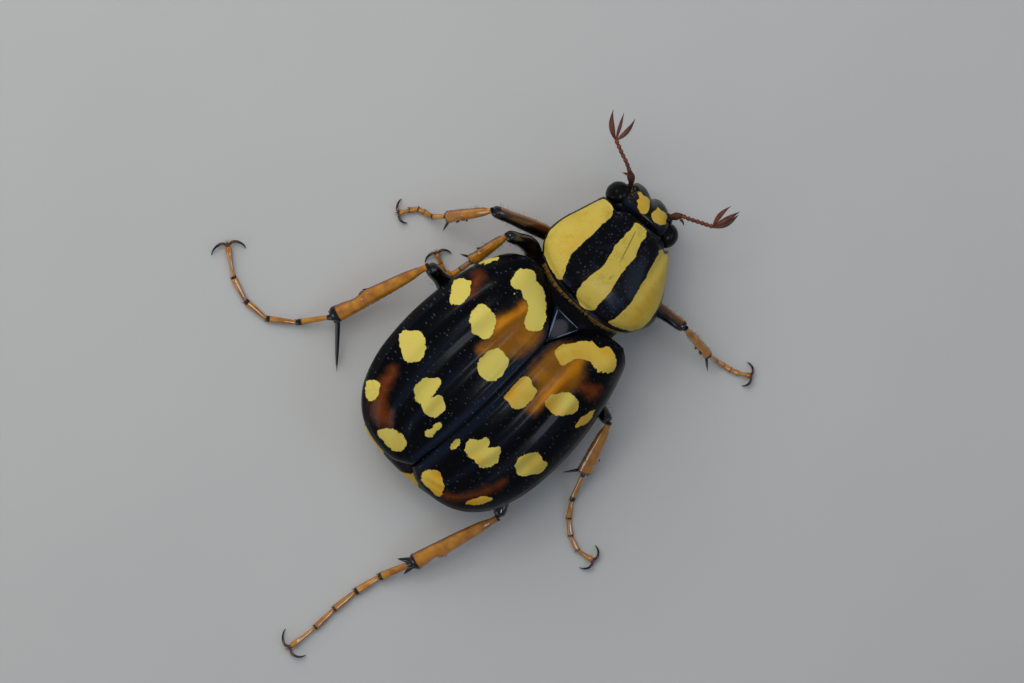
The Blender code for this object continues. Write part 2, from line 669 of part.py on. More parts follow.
def clawsMesh(tip, along, side):
    """Both claws of a foot, curving sideways and back from its tip, as one bent tube."""
    near, far = clawReach
    half = [(far, -0.5, -0.18, 0.04), (near, -0.02, 0.04, 0.12), (near * 0.5, 0.12, 0.08, 0.17)]
    stations = [(-reach, ahead, height, size) for reach, ahead, height, size in half]
    stations += [(0.0, -0.05, 0.02, 0.2)] + [(reach, ahead, height, size) for reach, ahead, height, size in half[::-1]]
    path = [tip + side * reach + along * ahead + Vector((0, 0, height)) for reach, ahead, height, size in stations]
    sizes = [station[-1] for station in stations]
    return tube(path, sizes, sizes, 6, lowest=0.0)


def makeFoot(name, shape):
    joints = [Vector(point) for point in shape["foot"]]
    path = []
    sizes = []
    for start, end in zip(joints, joints[1:]):
        for share, size in ((0.0, 0.8), (0.45, 0.95), (0.9, 1.05)):
            path.append(start.lerp(end, share))
            sizes.append(footRadius * size)
    path.append(joints[-1])
    sizes.append(footRadius * 0.8)
    along = (joints[-1] - joints[-2]).normalized()
    side = along.cross(Vector((0, 0, 1))).normalized()
    parts = [tube(path, sizes, sizes, lowest=0.0), clawsMesh(joints[-1], along, side)]
    placeNode(f"foot_{name}", combined(parts, "UNION"), "leg amber", joints[0])


def makeLegs():
    for name, shape in legs.items():
        size = legSizes[name.split("_")[0]]
        makeThigh(name, shape, size)
        makeShin(name, shape, size)
        makeFoot(name, shape)


for startObject in list(bpy.data.objects):
    bpy.data.objects.remove(startObject)

beetle = bpy.data.objects.new("beetle", None)
beetle.location = (-boxMiddle[0] * millimetre, -boxMiddle[1] * millimetre, 0)
bpy.context.scene.collection.objects.link(beetle)

makeElytra()
makePronotum()
makeProthorax()
makeScutellum()
makeThorax()
makeAbdomen()
makePygidium()
makeHead()
makeAntennae()
makeLegs()
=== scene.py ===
# The looks of the flower chafer. Sizes are in millimetres, +X to the beetle's right, +Y to its head,
# floor at Z = 0; finishPiece turns each finished mesh into metres round the middle of the model.
import math

import bmesh
import bpy
import numpy as np
from mathutils import Matrix, Vector


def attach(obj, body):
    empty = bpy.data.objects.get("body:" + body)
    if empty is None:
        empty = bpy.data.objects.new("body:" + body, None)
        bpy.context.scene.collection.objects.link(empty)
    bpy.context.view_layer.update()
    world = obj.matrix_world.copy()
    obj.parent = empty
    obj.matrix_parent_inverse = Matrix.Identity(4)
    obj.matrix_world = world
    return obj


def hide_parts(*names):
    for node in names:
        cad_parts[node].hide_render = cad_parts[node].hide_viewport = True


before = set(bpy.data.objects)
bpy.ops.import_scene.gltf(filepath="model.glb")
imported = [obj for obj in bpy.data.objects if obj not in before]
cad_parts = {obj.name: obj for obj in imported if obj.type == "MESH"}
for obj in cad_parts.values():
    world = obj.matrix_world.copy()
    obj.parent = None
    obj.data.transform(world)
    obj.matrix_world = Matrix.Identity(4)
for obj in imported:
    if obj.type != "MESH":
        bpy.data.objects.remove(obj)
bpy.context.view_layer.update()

millimetre = 0.001
boxMiddle = (-1.39, -6.08)
hindYaw, hindOrigin = 1.5, (0.05, 0.0)  # wing cases, scutellum, thorax, abdomen, pygidium
foreYaw, foreOrigin = 6.0, (0.35, 1.95)  # pronotum and prothorax
headYaw, headOrigin = 5.3, (-0.57, 8.37)
chance = np.random.default_rng(7)


# Shared curves, all on arrays

def smoothProfile(points, where):
    at = np.array([p[0] for p in points], float)
    height = np.array([p[1] for p in points], float)
    slope = np.gradient(height, at)
    where = np.clip(where, at[0], at[-1])
    i = np.clip(np.searchsorted(at, where, side="right") - 1, 0, len(at) - 2)
    span = at[i + 1] - at[i]
    f = (where - at[i]) / span
    return ((2 * f**3 - 3 * f**2 + 1) * height[i] + (f**3 - 2 * f**2 + f) * span * slope[i]
            + (3 * f**2 - 2 * f**3) * height[i + 1] + (f**3 - f**2) * span * slope[i + 1])


def smoothPath(points, where):
    points = np.array(points, float)
    steps = np.linalg.norm(np.diff(points, axis=0), axis=1)
    at = np.concatenate([[0.0], np.cumsum(steps)]) / steps.sum()
    return np.stack([smoothProfile(list(zip(at, column)), where) for column in points.T], axis=-1)


def evenShares(count):
    return np.linspace(0, 1, count)


def ringAngles(sides, turn=0.0):
    return 2 * np.pi * (np.arange(sides) + turn) / sides


def superCurve(value, roundness):
    return np.sign(value) * np.abs(value) ** (2 / roundness)


def dome(share, roundness):
    return np.maximum(0, 1 - np.minimum(1, np.abs(share)) ** roundness) ** (1 / roundness)


def hump(distance, width):
    return np.exp(-((distance / width) ** 2))


def turned(x, y, z, yaw, origin):
    c, s = math.cos(math.radians(yaw)), math.sin(math.radians(yaw))
    return np.stack([origin[0] + x * c - y * s, origin[1] + x * s + y * c, z + 0 * x], axis=-1)


def unturned(places, yaw, origin):
    # plan coordinates of places in a turned frame
    c, s = math.cos(math.radians(yaw)), math.sin(math.radians(yaw))
    x, y = places[:, 0] - origin[0], places[:, 1] - origin[1]
    return np.stack([x * c + y * s, -x * s + y * c], axis=-1)


def hindPoint(x, y, z):
    return turned(x, y, z, hindYaw, hindOrigin)


def forePoint(x, y, z):
    return turned(x, y, z, foreYaw, foreOrigin)


def headPoint(x, y, z):
    return turned(x, y, z, headYaw, headOrigin)


# Outlines of the colour marks: smooth closed curves, and the distance to them

def closedCurve(outline, steps=5):
    b = np.array(outline, float)
    a, c, d = np.roll(b, 1, axis=0), np.roll(b, -1, axis=0), np.roll(b, -2, axis=0)
    t = np.linspace(0, 1, steps, endpoint=False)[:, None, None]
    curve = 0.5 * (2 * b + (c - a) * t + (2 * a - 5 * b + 4 * c - d) * t**2 + (3 * b - a - 3 * c + d) * t**3)
    return curve.transpose(1, 0, 2).reshape(-1, 2)


def markDistance(places, outlines, reach=1.0):
    # distance in mm to the nearest outline, negative inside it, and never more than reach
    nearest = np.full(len(places), reach)
    for outline in outlines:
        curve = closedCurve(outline)
        low, high = curve.min(0) - reach, curve.max(0) + reach
        near = np.where(((places > low) & (places < high)).all(1))[0]
        x, y = places[near, 0], places[near, 1]
        best = np.full(len(near), reach**2)
        inside = np.zeros(len(near), bool)
        for a, b in zip(curve, np.roll(curve, -1, axis=0)):
            step = b - a
            t = np.clip(((x - a[0]) * step[0] + (y - a[1]) * step[1]) / (step @ step + 1e-12), 0, 1)
            best = np.minimum(best, (x - a[0] - t * step[0]) ** 2 + (y - a[1] - t * step[1]) ** 2)
            if a[1] != b[1]:
                crosses = (a[1] > y) != (b[1] > y)
                inside ^= crosses & (x < a[0] + (y - a[1]) / (b[1] - a[1]) * step[0])
        nearest[near] = np.minimum(nearest[near], np.where(inside, -1, 1) * np.sqrt(best))
    return nearest


# Building meshes

def moveVerts(verts, places):
    for vert, place in zip(verts, places):
        vert.co = place


def outward(bm):
    bmesh.ops.recalc_face_normals(bm, faces=bm.faces)
    if bm.calc_volume(signed=True) < 0:
        bmesh.ops.reverse_faces(bm, faces=bm.faces)


def sheetShell(acrossSteps, alongSteps, topPoint, bottomPoint):
    # closed shell between two surfaces, each given by two shares from 0 to 1
    bm = bmesh.new()
    bmesh.ops.create_grid(bm, x_segments=acrossSteps, y_segments=alongSteps, size=0.5)
    low = bm.verts[:]
    made = bmesh.ops.extrude_face_region(bm, geom=bm.faces[:])["geom"]
    high = [part for part in made if isinstance(part, bmesh.types.BMVert)]
    for verts, surface in ((low, bottomPoint), (high, topPoint)):
        shares = np.array([vert.co[:2] for vert in verts]) + 0.5
        moveVerts(verts, surface(shares[:, 0], shares[:, 1]))
    outward(bm)
    return bm


def darkLayer(bm):
    return bm.verts.layers.float.get("dark") or bm.verts.layers.float.new("dark")


def addLoft(bm, rings, shades=None):
    # closed body through rings of places, added to bm; shades holds one darkness for each corner
    layer = darkLayer(bm)
    corner = bm.verts.layers.int.get("corner") or bm.verts.layers.int.new("corner")
    verts = bmesh.ops.create_circle(bm, cap_ends=True, segments=len(rings[0]), radius=1)["verts"]
    edges = list({edge for vert in verts for edge in vert.link_edges})
    faces = set(verts[0].link_faces)
    for index, vert in enumerate(verts):
        vert[corner] = index
        vert.co = rings[0][index]
        vert[layer] = shades[0][index] if shades is not None else 0.0
    for number in range(1, len(rings)):
        made = bmesh.ops.extrude_edge_only(bm, edges=edges)["geom"]
        edges = [part for part in made if isinstance(part, bmesh.types.BMEdge)]
        faces.update(part for part in made if isinstance(part, bmesh.types.BMFace))
        for vert in {vert for edge in edges for vert in edge.verts}:
            vert.co = rings[number][vert[corner]]
            vert[layer] = shades[number][vert[corner]] if shades is not None else 0.0
    faces.update(bmesh.ops.contextual_create(bm, geom=edges)["faces"])
    bmesh.ops.recalc_face_normals(bm, faces=list(faces))
    return faces


def tubeRings(path, widths, depths, sides, lowest=None, turn=0.5):
    path = np.array(path, float)
    along = np.gradient(path, axis=0)
    along /= np.linalg.norm(along, axis=1)[:, None]
    side = np.cross(along, (0, 0, 1))
    side /= np.maximum(1e-6, np.linalg.norm(side, axis=1))[:, None]
    up = np.cross(side, along)
    angle = ringAngles(sides, turn)
    rings = (path[:, None] + side[:, None] * (np.array(widths)[:, None] * np.cos(angle))[..., None]
             + up[:, None] * (np.array(depths)[:, None] * np.sin(angle))[..., None])
    if lowest is not None:
        rings[..., 2] = np.maximum(rings[..., 2], lowest)
    return rings, angle


def addTube(bm, path, widths, depths=None, sides=12, shade=None, lowest=None):
    # shade(share along, angle round) gives the darkness, 0 to 1
    rings, angle = tubeRings(path, widths, widths if depths is None else depths, sides, lowest)
    shades = None
    if shade is not None:
        share = evenShares(len(path))
        shades = np.array([[shade(s, a) for a in angle] for s in share])
    return addLoft(bm, rings, shades)


def addSpike(bm, root, tip, radius, dark=1.0, bend=(0, 0, 0), sides=8, rings=6, lowest=0.01):
    # a tapering thorn, spur or claw; bend pushes its middle sideways
    share = evenShares(rings)
    root, tip, bend = (np.array(v, float) for v in (root, tip, bend))
    path = root + (tip - root) * share[:, None] + bend * (4 * share * (1 - share))[:, None]
    sizes = radius * (1 - share**1.6) ** 0.8 + radius * 0.04
    addTube(bm, path, sizes, None, sides, lambda s, a: dark, lowest)


patchRadius, patchTurn = 0.0015, 2.1  # the patch of a hair on OFBake: a small circle, turned by corner


def addHair(bm, root, direction, length, radius, droop=0.0, uvAt=(0.5, 0.5)):
    # one bristle of three flat sides; its patch on OFBake lies at its root's place
    uv = bm.loops.layers.uv.get("OFBake") or bm.loops.layers.uv.new("OFBake")
    direction = np.array(direction, float) / np.linalg.norm(direction)
    share = np.array([0.0, 0.35, 0.7, 1.0])
    path = np.array(root) + direction * (share * length)[:, None]
    path[:, 2] -= droop * length * share**2
    path[:, 2] = np.maximum(path[:, 2], 0.02)
    sizes = radius * np.array([1.0, 0.85, 0.55, 0.12])
    rings, _ = tubeRings(path, sizes, sizes, 3)
    for face in addLoft(bm, rings):
        for number, loop in enumerate(face.loops):
            loop[uv].uv = (uvAt[0] + patchRadius * math.cos(number * patchTurn),
                           uvAt[1] + patchRadius * math.sin(number * patchTurn))


def linked(item):
    bpy.context.scene.collection.objects.link(item)


def finishPiece(name, bm, finish, nodes=(), marks=None, sharp=45):
    mesh = bpy.data.meshes.new(name)
    bm.to_mesh(mesh)
    bm.free()
    if "corner" in mesh.attributes:
        mesh.attributes.remove(mesh.attributes["corner"])
    if marks:
        places = np.zeros(len(mesh.vertices) * 3)
        mesh.vertices.foreach_get("co", places)
        for label, values in marks(places.reshape(-1, 3)).items():
            mesh.attributes.new(label, "FLOAT", "POINT").data.foreach_set("value", values.astype(np.float32))
    mesh.transform(Matrix.Scale(millimetre, 4) @ Matrix.Translation((-boxMiddle[0], -boxMiddle[1], 0)))
    mesh.materials.append(finish)
    mesh.shade_smooth()
    mesh.set_sharp_from_angle(angle=math.radians(sharp))
    piece = bpy.data.objects.new(name, mesh)
    linked(piece)
    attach(piece, "root")
    if nodes:
        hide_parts(*nodes)
    print(f"{name}: {len(mesh.polygons)} faces")
    return piece


# Materials

def rgb(red, green, blue):
    # screen colour 0 to 255 as the shader's linear one
    parts = [part / 255 for part in (red, green, blue)]
    return (*(((part + 0.055) / 1.055) ** 2.4 if part > 0.04 else part / 12.92 for part in parts), 1.0)


class Net:
    # a small wiring helper for one node tree
    def __init__(self, tree):
        self.tree = tree

    def add(self, kind, inputs=None, **settings):
        node = self.tree.nodes.new(kind)
        for key, value in settings.items():
            setattr(node, key, value)
        for key, value in (inputs or {}).items():
            self.feed(node.inputs[key], value)
        return node

    def feed(self, socket, value):
        if isinstance(value, bpy.types.NodeSocket):
            self.tree.links.new(value, socket)
        else:
            socket.default_value = value

    def math(self, operation, a, b=0.0, clamp=False):
        return self.add("ShaderNodeMath", {0: a, 1: b}, operation=operation, use_clamp=clamp).outputs[0]

    def ramp(self, value, low, high, outLow=0.0, outHigh=1.0):
        node = self.add("ShaderNodeMapRange", {"Value": value, "From Min": low, "From Max": high,
                                               "To Min": outLow, "To Max": outHigh},
                        interpolation_type="SMOOTHSTEP")
        return node.outputs["Result"]

    def blend(self, share, first, second, how="MIX"):
        node = self.add("ShaderNodeMix", data_type="RGBA", blend_type=how)
        self.feed(node.inputs["Factor"], share)
        self.feed(node.inputs[6], first)
        self.feed(node.inputs[7], second)
        return node.outputs[2]

    def times(self, a, b):
        return self.math("MULTIPLY", a, b)

    def noise(self, place, scale, detail=2.0):
        node = self.add("ShaderNodeTexNoise", {"Vector": place, "Scale": scale, "Detail": detail})
        return node.outputs["Fac"]

    def cells(self, place, scale, randomness=1.0, **settings):
        inputs = {"Vector": place, "Scale": scale, "Randomness": randomness}
        return self.add("ShaderNodeTexVoronoi", inputs, **settings).outputs

    def value(self, name):
        return self.add("ShaderNodeAttribute", attribute_name=name).outputs["Fac"]

    def group(self, tree, **inputs):
        node = self.add("ShaderNodeGroup", node_tree=tree)
        for key, value in inputs.items():
            self.feed(node.inputs[key], value)
        return node.outputs


def newGroup(name, inputs, outputs):
    # inputs: the vector Place and numbers with their defaults; outputs: numbers
    tree = bpy.data.node_groups.new(name, "ShaderNodeTree")
    tree.interface.new_socket(name="Place", in_out="INPUT", socket_type="NodeSocketVector")
    for label, value in inputs.items():
        socket = tree.interface.new_socket(name=label, in_out="INPUT", socket_type="NodeSocketFloat")
        socket.default_value = value
    for label in outputs:
        tree.interface.new_socket(name=label, in_out="OUTPUT", socket_type="NodeSocketFloat")
    return Net(tree), tree.nodes.new("NodeGroupInput").outputs, tree.nodes.new("NodeGroupOutput").inputs


def wavyEdgeGroup():
    # mask of a colour mark from the distance to its outline, with a slightly ragged edge
    net, given, out = newGroup("wavyEdge", {"Distance": 0.0, "Ragged": 0.05, "Blur": 0.02}, ["Mask"])
    coarse = net.math("SUBTRACT", net.noise(given["Place"], 1900.0, 1.0), 0.5)
    fine = net.math("SUBTRACT", net.noise(given["Place"], 8000.0, 2.0), 0.5)
    wobble = net.math("ADD", coarse, net.times(fine, 0.5))
    moved = net.math("ADD", given["Distance"], net.times(wobble, given["Ragged"]))
    blur = given["Blur"]
    shared = net.math("DIVIDE", net.math("SUBTRACT", blur, moved), net.times(blur, 2.0))
    net.feed(out["Mask"], net.ramp(shared, 0.0, 1.0))
    return net.tree


def pitGroup():
    # fine pits of the cuticle: a mask of the pits and a height for the bump
    net, given, out = newGroup("cuticlePits", {"Scale": 5000.0, "Size": 0.3}, ["Mask", "Height"])
    cell = net.cells(given["Place"], given["Scale"], 0.9)
    pit = net.math("SUBTRACT", 1.0, net.math("DIVIDE", cell["Distance"], given["Size"]), True)
    net.feed(out["Mask"], pit)
    net.feed(out["Height"], net.math("SUBTRACT", 1.0, pit))
    return net.tree


def scratchGroup():
    # sparse thin scratches and specks
    net, given, out = newGroup("fineScratches", {"Scale": 900.0, "Amount": 0.5}, ["Mask"])
    bent = net.add("ShaderNodeTexNoise", {"Vector": given["Place"], "Scale": 700.0, "Detail": 2.0})
    place = net.add("ShaderNodeVectorMath", {0: given["Place"]}, operation="ADD")
    soft = net.add("ShaderNodeVectorMath", {0: bent.outputs["Color"]}, operation="SCALE")
    soft.inputs["Scale"].default_value = 0.0006
    net.feed(place.inputs[1], soft.outputs[0])
    lines = net.cells(place.outputs[0], given["Scale"], feature="DISTANCE_TO_EDGE")
    thin = net.math("SUBTRACT", 1.0, net.math("DIVIDE", lines["Distance"], 0.012), True)
    patch = net.ramp(net.noise(given["Place"], 420.0, 2.0), 0.56, 0.66)
    net.feed(out["Mask"], net.times(net.times(thin, patch), given["Amount"]))
    return net.tree


def dustGroup():
    # scattered pale grains
    net, given, out = newGroup("paleDust", {"Scale": 1500.0, "Size": 0.05}, ["Mask"])
    cell = net.cells(given["Place"], given["Scale"])
    pick = net.add("ShaderNodeSeparateColor", {"Color": cell["Color"]}).outputs[0]
    grain = net.math("SUBTRACT", 1.0, net.math("DIVIDE", cell["Distance"], given["Size"]), True)
    net.feed(out["Mask"], net.times(net.ramp(grain, 0.1, 0.6), net.ramp(pick, 0.45, 0.95)))
    return net.tree


wavyEdge, cuticlePits, fineScratches, paleDust = wavyEdgeGroup(), pitGroup(), scratchGroup(), dustGroup()


def newFinish(name, roughness=0.3, coat=0.0, coatRoughness=0.1, specular=0.5):
    finish = bpy.data.materials.new(name)
    finish.use_nodes = True
    shader = finish.node_tree.nodes["Principled BSDF"]
    shader.inputs["Roughness"].default_value = roughness
    shader.inputs["Coat Weight"].default_value = coat
    shader.inputs["Coat Roughness"].default_value = coatRoughness
    shader.inputs["Specular IOR Level"].default_value = specular
    net = Net(finish.node_tree)
    return finish, net, shader.inputs, net.add("ShaderNodeTexCoord").outputs["Object"]


def bumped(net, shader, height, strength, distance):
    inputs = {"Height": height, "Strength": strength, "Distance": distance * millimetre}
    net.feed(shader["Normal"], net.add("ShaderNodeBump", inputs).outputs["Normal"])


def markMask(net, place, mark, ragged, blur):
    # mask of the colour mark whose distance is the attribute mark
    return net.group(wavyEdge, Place=place, Distance=net.value(mark), Ragged=ragged, Blur=blur)["Mask"]


def dusted(net, place, colour, scale, size):
    grains = net.group(paleDust, Place=place, Scale=scale, Size=size)["Mask"]
    return net.blend(grains, colour, cuticle["dust"])


cuticle = {
    "black": rgb(5, 5, 8), "blue": rgb(26, 34, 50), "spot": rgb(214, 194, 92), "spotDeep": rgb(212, 154, 26),
    "amberPatch": rgb(192, 120, 18), "amberDeep": rgb(130, 80, 10), "rust": rgb(118, 56, 18),
    "pronotumPale": rgb(206, 180, 78), "pronotumDeep": rgb(202, 150, 30), "scratch": rgb(70, 55, 20),
    "dust": rgb(150, 152, 150),
}


def wingCaseFinish():
    finish, net, shader, place = newFinish("wingCaseCuticle", 0.26, 0.04, 0.08, 0.11)
    tone = net.noise(place, 300.0, 2.0)
    black = net.blend(net.ramp(tone, 0.4, 0.75), cuticle["black"], rgb(9, 10, 15))
    # a bluish sheen painted along the ribs and beside the suture
    black = net.blend(net.times(net.value("ridge"), 0.7), black, cuticle["blue"])
    rows = net.add("ShaderNodeCombineXYZ", {"X": net.value("rowAcross"), "Y": net.value("rowAlong")})
    dots = net.group(cuticlePits, Place=rows.outputs[0], Scale=1.0, Size=0.24)
    # pale dots in the rows of pits: a painted glint of the punctures
    black = net.blend(net.times(dots["Mask"], 0.7), black, rgb(84, 92, 108))
    black = dusted(net, place, black, 1500.0, 0.05)
    rust = markMask(net, place, "rustMark", 0.5, 0.4)
    colour = net.blend(net.times(rust, 0.8), black, cuticle["rust"])
    amber = markMask(net, place, "amberMark", 0.36, 0.42)
    # streak brightens the amber along a rib: a painted highlight
    bright = net.math("ADD", net.noise(place, 700.0, 3.0), net.times(net.value("streak"), 0.6))
    amberTone = net.blend(net.ramp(bright, 0.42, 1.0), cuticle["amberDeep"], cuticle["amberPatch"])
    colour = net.blend(amber, colour, amberTone)
    spots = markMask(net, place, "spotMark", 0.3, 0.022)
    warm = net.math("ADD", net.times(net.noise(place, 520.0, 3.0), 0.9), net.value("warm"))
    yellow = net.blend(net.ramp(warm, 0.45, 1.1), cuticle["spot"], cuticle["spotDeep"])
    marks = net.group(fineScratches, Place=place, Scale=800.0, Amount=0.5)["Mask"]
    specks = net.ramp(net.group(cuticlePits, Place=place, Scale=3600.0, Size=0.16)["Mask"], 0.35, 0.8)
    yellow = net.blend(net.times(specks, 0.35), yellow, cuticle["scratch"])
    yellow = net.blend(marks, yellow, cuticle["scratch"])
    net.feed(shader["Base Color"], net.blend(spots, colour, yellow))
    net.feed(shader["Roughness"], net.ramp(spots, 0.0, 1.0, 0.27, 0.42))
    fine = net.math("ADD", dots["Height"], net.times(net.noise(place, 2500.0, 3.0), 0.5))
    bumped(net, shader, fine, 0.4, 0.03)
    return finish


def pronotumFinish():
    finish, net, shader, place = newFinish("pronotumCuticle", 0.28, 0.08, 0.07, 0.16)
    stripes = markMask(net, place, "stripeMark", 0.2, 0.022)
    rim = markMask(net, place, "rimMark", 0.1, 0.02)
    yellowMask = net.times(stripes, net.math("SUBTRACT", 1.0, rim))
    warm = net.math("ADD", net.times(net.noise(place, 420.0, 3.0), 0.8), net.value("warm"))
    yellow = net.blend(net.ramp(warm, 0.35, 0.95), cuticle["pronotumPale"], cuticle["pronotumDeep"])
    marks = net.group(fineScratches, Place=place, Scale=620.0, Amount=0.4)["Mask"]
    specks = net.ramp(net.group(cuticlePits, Place=place, Scale=4000.0, Size=0.3)["Mask"], 0.35, 0.9)
    yellow = net.blend(net.times(specks, 0.5), yellow, cuticle["scratch"])
    yellow = net.blend(net.ramp(net.noise(place, 1500.0, 4.0), 0.5, 0.8, 0.0, 0.3), yellow, rgb(150, 108, 24))
    yellow = net.blend(marks, yellow, cuticle["scratch"])
    yellow = net.blend(net.value("line"), yellow, rgb(60, 50, 20))
    pits = net.group(cuticlePits, Place=place, Scale=4400.0, Size=0.3)
    sheen = net.ramp(net.noise(place, 900.0, 5.0), 0.52, 0.74, 0.0, 0.8)
    black = net.blend(sheen, cuticle["black"], rgb(30, 38, 60))
    # pale dots in the pits of the black: a painted glint
    black = net.blend(net.times(pits["Mask"], 0.4), black, rgb(86, 94, 110))
    black = dusted(net, place, black, 1900.0, 0.07)
    net.feed(shader["Base Color"], net.blend(yellowMask, black, yellow))
    net.feed(shader["Roughness"], net.ramp(yellowMask, 0.0, 1.0, 0.28, 0.46))
    depth = net.times(pits["Height"], net.ramp(yellowMask, 0.0, 1.0, 1.0, 0.5))
    bumped(net, shader, depth, 0.5, 0.03)
    return finish


def blackFinish(name, pitScale=4200.0, pitSize=0.3, depth=0.5, roughness=0.24, tint="blue", warmth=0.0,
                specular=0.24):
    # plain dark cuticle; spotMark, where a piece has it, paints the yellow spots
    finish, net, shader, place = newFinish(name, roughness, 0.1, 0.08, specular)
    # noise blotches of the tint over the black; where the tint is bluish they are a painted sheen
    tone = net.ramp(net.noise(place, 500.0, 3.0), 0.35, 0.75)
    colour = net.blend(tone, cuticle["black"], cuticle[tint] if isinstance(tint, str) else tint)
    if warmth:
        patches = net.ramp(net.noise(place, 260.0, 2.0), 0.45, 0.7)
        colour = net.blend(net.times(patches, warmth), colour, cuticle["rust"])
    colour = dusted(net, place, colour, 2200.0, 0.07)
    spots = markMask(net, place, "spotMark", 0.12, 0.02)
    spots = net.times(spots, net.value("hasSpots"))
    yellow = net.blend(net.noise(place, 900.0, 3.0), cuticle["pronotumPale"], cuticle["pronotumDeep"])
    net.feed(shader["Base Color"], net.blend(spots, colour, yellow))
    pits = net.group(cuticlePits, Place=place, Scale=pitScale, Size=pitSize)["Height"]
    gloss = net.noise(place, 1500.0, 2.0)
    net.feed(shader["Roughness"], net.ramp(gloss, 0.3, 0.7, roughness, roughness + 0.14))
    bumped(net, shader, pits, depth, 0.03)
    return finish


def legFinish():
    # amber with black joints: the attribute dark runs from amber through brown to black
    finish, net, shader, place = newFinish("legCuticle", 0.2, 1.0, 0.09, 0.6)
    shader["Coat IOR"].default_value = 1.8
    dark = net.value("dark")
    net.feed(shader["Coat Weight"], net.ramp(dark, 0.0, 1.0, 1.0, 0.25))
    grain = net.noise(place, 1600.0, 3.0)
    amber = net.blend(net.ramp(grain, 0.3, 0.75), rgb(198, 130, 14), rgb(154, 90, 6))
    brown = net.blend(net.ramp(dark, 0.08, 0.5), amber, rgb(84, 42, 10))
    wavy = net.math("ADD", dark, net.times(net.math("SUBTRACT", grain, 0.5), 0.25))
    net.feed(shader["Base Color"], net.blend(net.ramp(wavy, 0.5, 0.72), brown, rgb(10, 10, 13)))
    pits = net.group(cuticlePits, Place=place, Scale=4000.0, Size=0.28)["Height"]
    height = net.math("ADD", pits, net.times(grain, 1.2))
    net.feed(shader["Roughness"], net.ramp(net.noise(place, 2400.0, 2.0), 0.3, 0.7, 0.12, 0.22))
    bumped(net, shader, height, 0.12, 0.03)
    return finish


def antennaFinish():
    finish, net, shader, place = newFinish("antennaCuticle", 0.42, 0.15, 0.2, 0.4)
    tone = net.noise(place, 2500.0, 3.0)
    brown = net.blend(net.ramp(tone, 0.3, 0.7), rgb(94, 45, 28), rgb(126, 68, 42))
    net.feed(shader["Base Color"], net.blend(net.value("dark"), brown, rgb(38, 16, 12)))
    pits = net.group(cuticlePits, Place=place, Scale=9000.0, Size=0.4)["Height"]
    net.feed(shader["Roughness"], net.ramp(tone, 0.3, 0.7, 0.34, 0.5))
    bumped(net, shader, pits, 0.4, 0.02)
    return finish


def eyeFinish():
    finish, net, shader, place = newFinish("eyeFacets", 0.3, 0.08, 0.1, 0.16)
    cell = net.cells(place, 24000.0, 0.15)
    net.feed(shader["Base Color"], net.blend(net.noise(place, 700.0, 2.0), rgb(4, 4, 6), rgb(17, 12, 12)))
    net.feed(shader["Roughness"], net.ramp(net.noise(place, 1200.0, 2.0), 0.3, 0.7, 0.26, 0.36))
    bumped(net, shader, net.math("SUBTRACT", 1.0, cell["Distance"]), 0.12, 0.008)
    return finish


def hairFinish(name, root, tip):
    finish, net, shader, place = newFinish(name, 0.45, 0.0, 0.3, 0.4)
    net.feed(shader["Base Color"], net.blend(net.noise(place, 2000.0, 1.0), root, tip))
    return finish


finishes = {
    "wing": wingCaseFinish(),
    "pronotum": pronotumFinish(),
    "body": blackFinish("bodyCuticle", 3600.0, 0.32, 0.6, 0.26, warmth=0.1),
    "head": blackFinish("headCuticle", 5200.0, 0.36, 0.8, 0.26, rgb(17, 20, 30)),
    # the scutellum's rims are pale blue-white: a painted sheen
    "rim": hairFinish("scutellumRimPaintedSheen", rgb(62, 74, 98), rgb(112, 128, 152)),
    # the scutellum's bluish-grey blotches over the black are a painted sheen
    "scutellum": blackFinish("scutellumCuticleAndSheen", 5200.0, 0.3, 0.6, 0.24, rgb(40, 50, 70), 0.0, 0.03),
    "membrane": blackFinish("jointMembrane", 2400.0, 0.4, 0.5, 0.5, rgb(9, 6, 6), 0.0, 0.06),
    "leg": legFinish(),
    "antenna": antennaFinish(),
    "eye": eyeFinish(),
    "gold": hairFinish("goldenHair", rgb(170, 126, 50), rgb(226, 190, 110)),
    "bristle": hairFinish("brownBristle", rgb(60, 34, 16), rgb(124, 80, 36)),
}
print("materials made")


# Wing cases

elytron = {
    "outer": [(3.9, 2.0), (4.75, 1.45), (5.45, 0.2), (5.97, -1.5), (6.38, -3.8), (6.45, -6.2),
              (6.12, -8.6), (5.35, -10.4), (4.0, -11.65), (2.35, -12.15), (0.9, -12.1), (0.12, -11.7)],
    "inner": [(1.3, 1.15), (0.62, -0.05), (0.02, -1.15), (0.015, -4.4), (0.015, -7.6), (0.015, -10.8)],
    "innerAt": [0.0, 0.07, 0.14, 0.32, 0.56, 1.0],
    "thickness": 0.55, "rim": 0.5, "roundness": 2.2, "marginHeight": 3.4, "shoulderLift": 1.2,
    "baseDrop": 0.9, "baseBulge": 0.25, "steps": (130, 250),
    "ribs": [(0.385, 0.07, 0.05), (0.62, 0.075, 0.05), (0.8, 0.025, 0.05)],  # place across, height, width
}
suture = {"top": 6.0, "topAt": -4.5, "frontFall": 0.012, "rearFall": 2.6, "rearLength": 7.6,
          "bead": 0.05, "beadWidth": 0.16, "beadAt": 0.2}
bumps = [((4.0, 0.6), 0.3, 1.0), ((4.3, -9.7), 0.14, 1.2)]  # shoulder and tip: place, height, radius

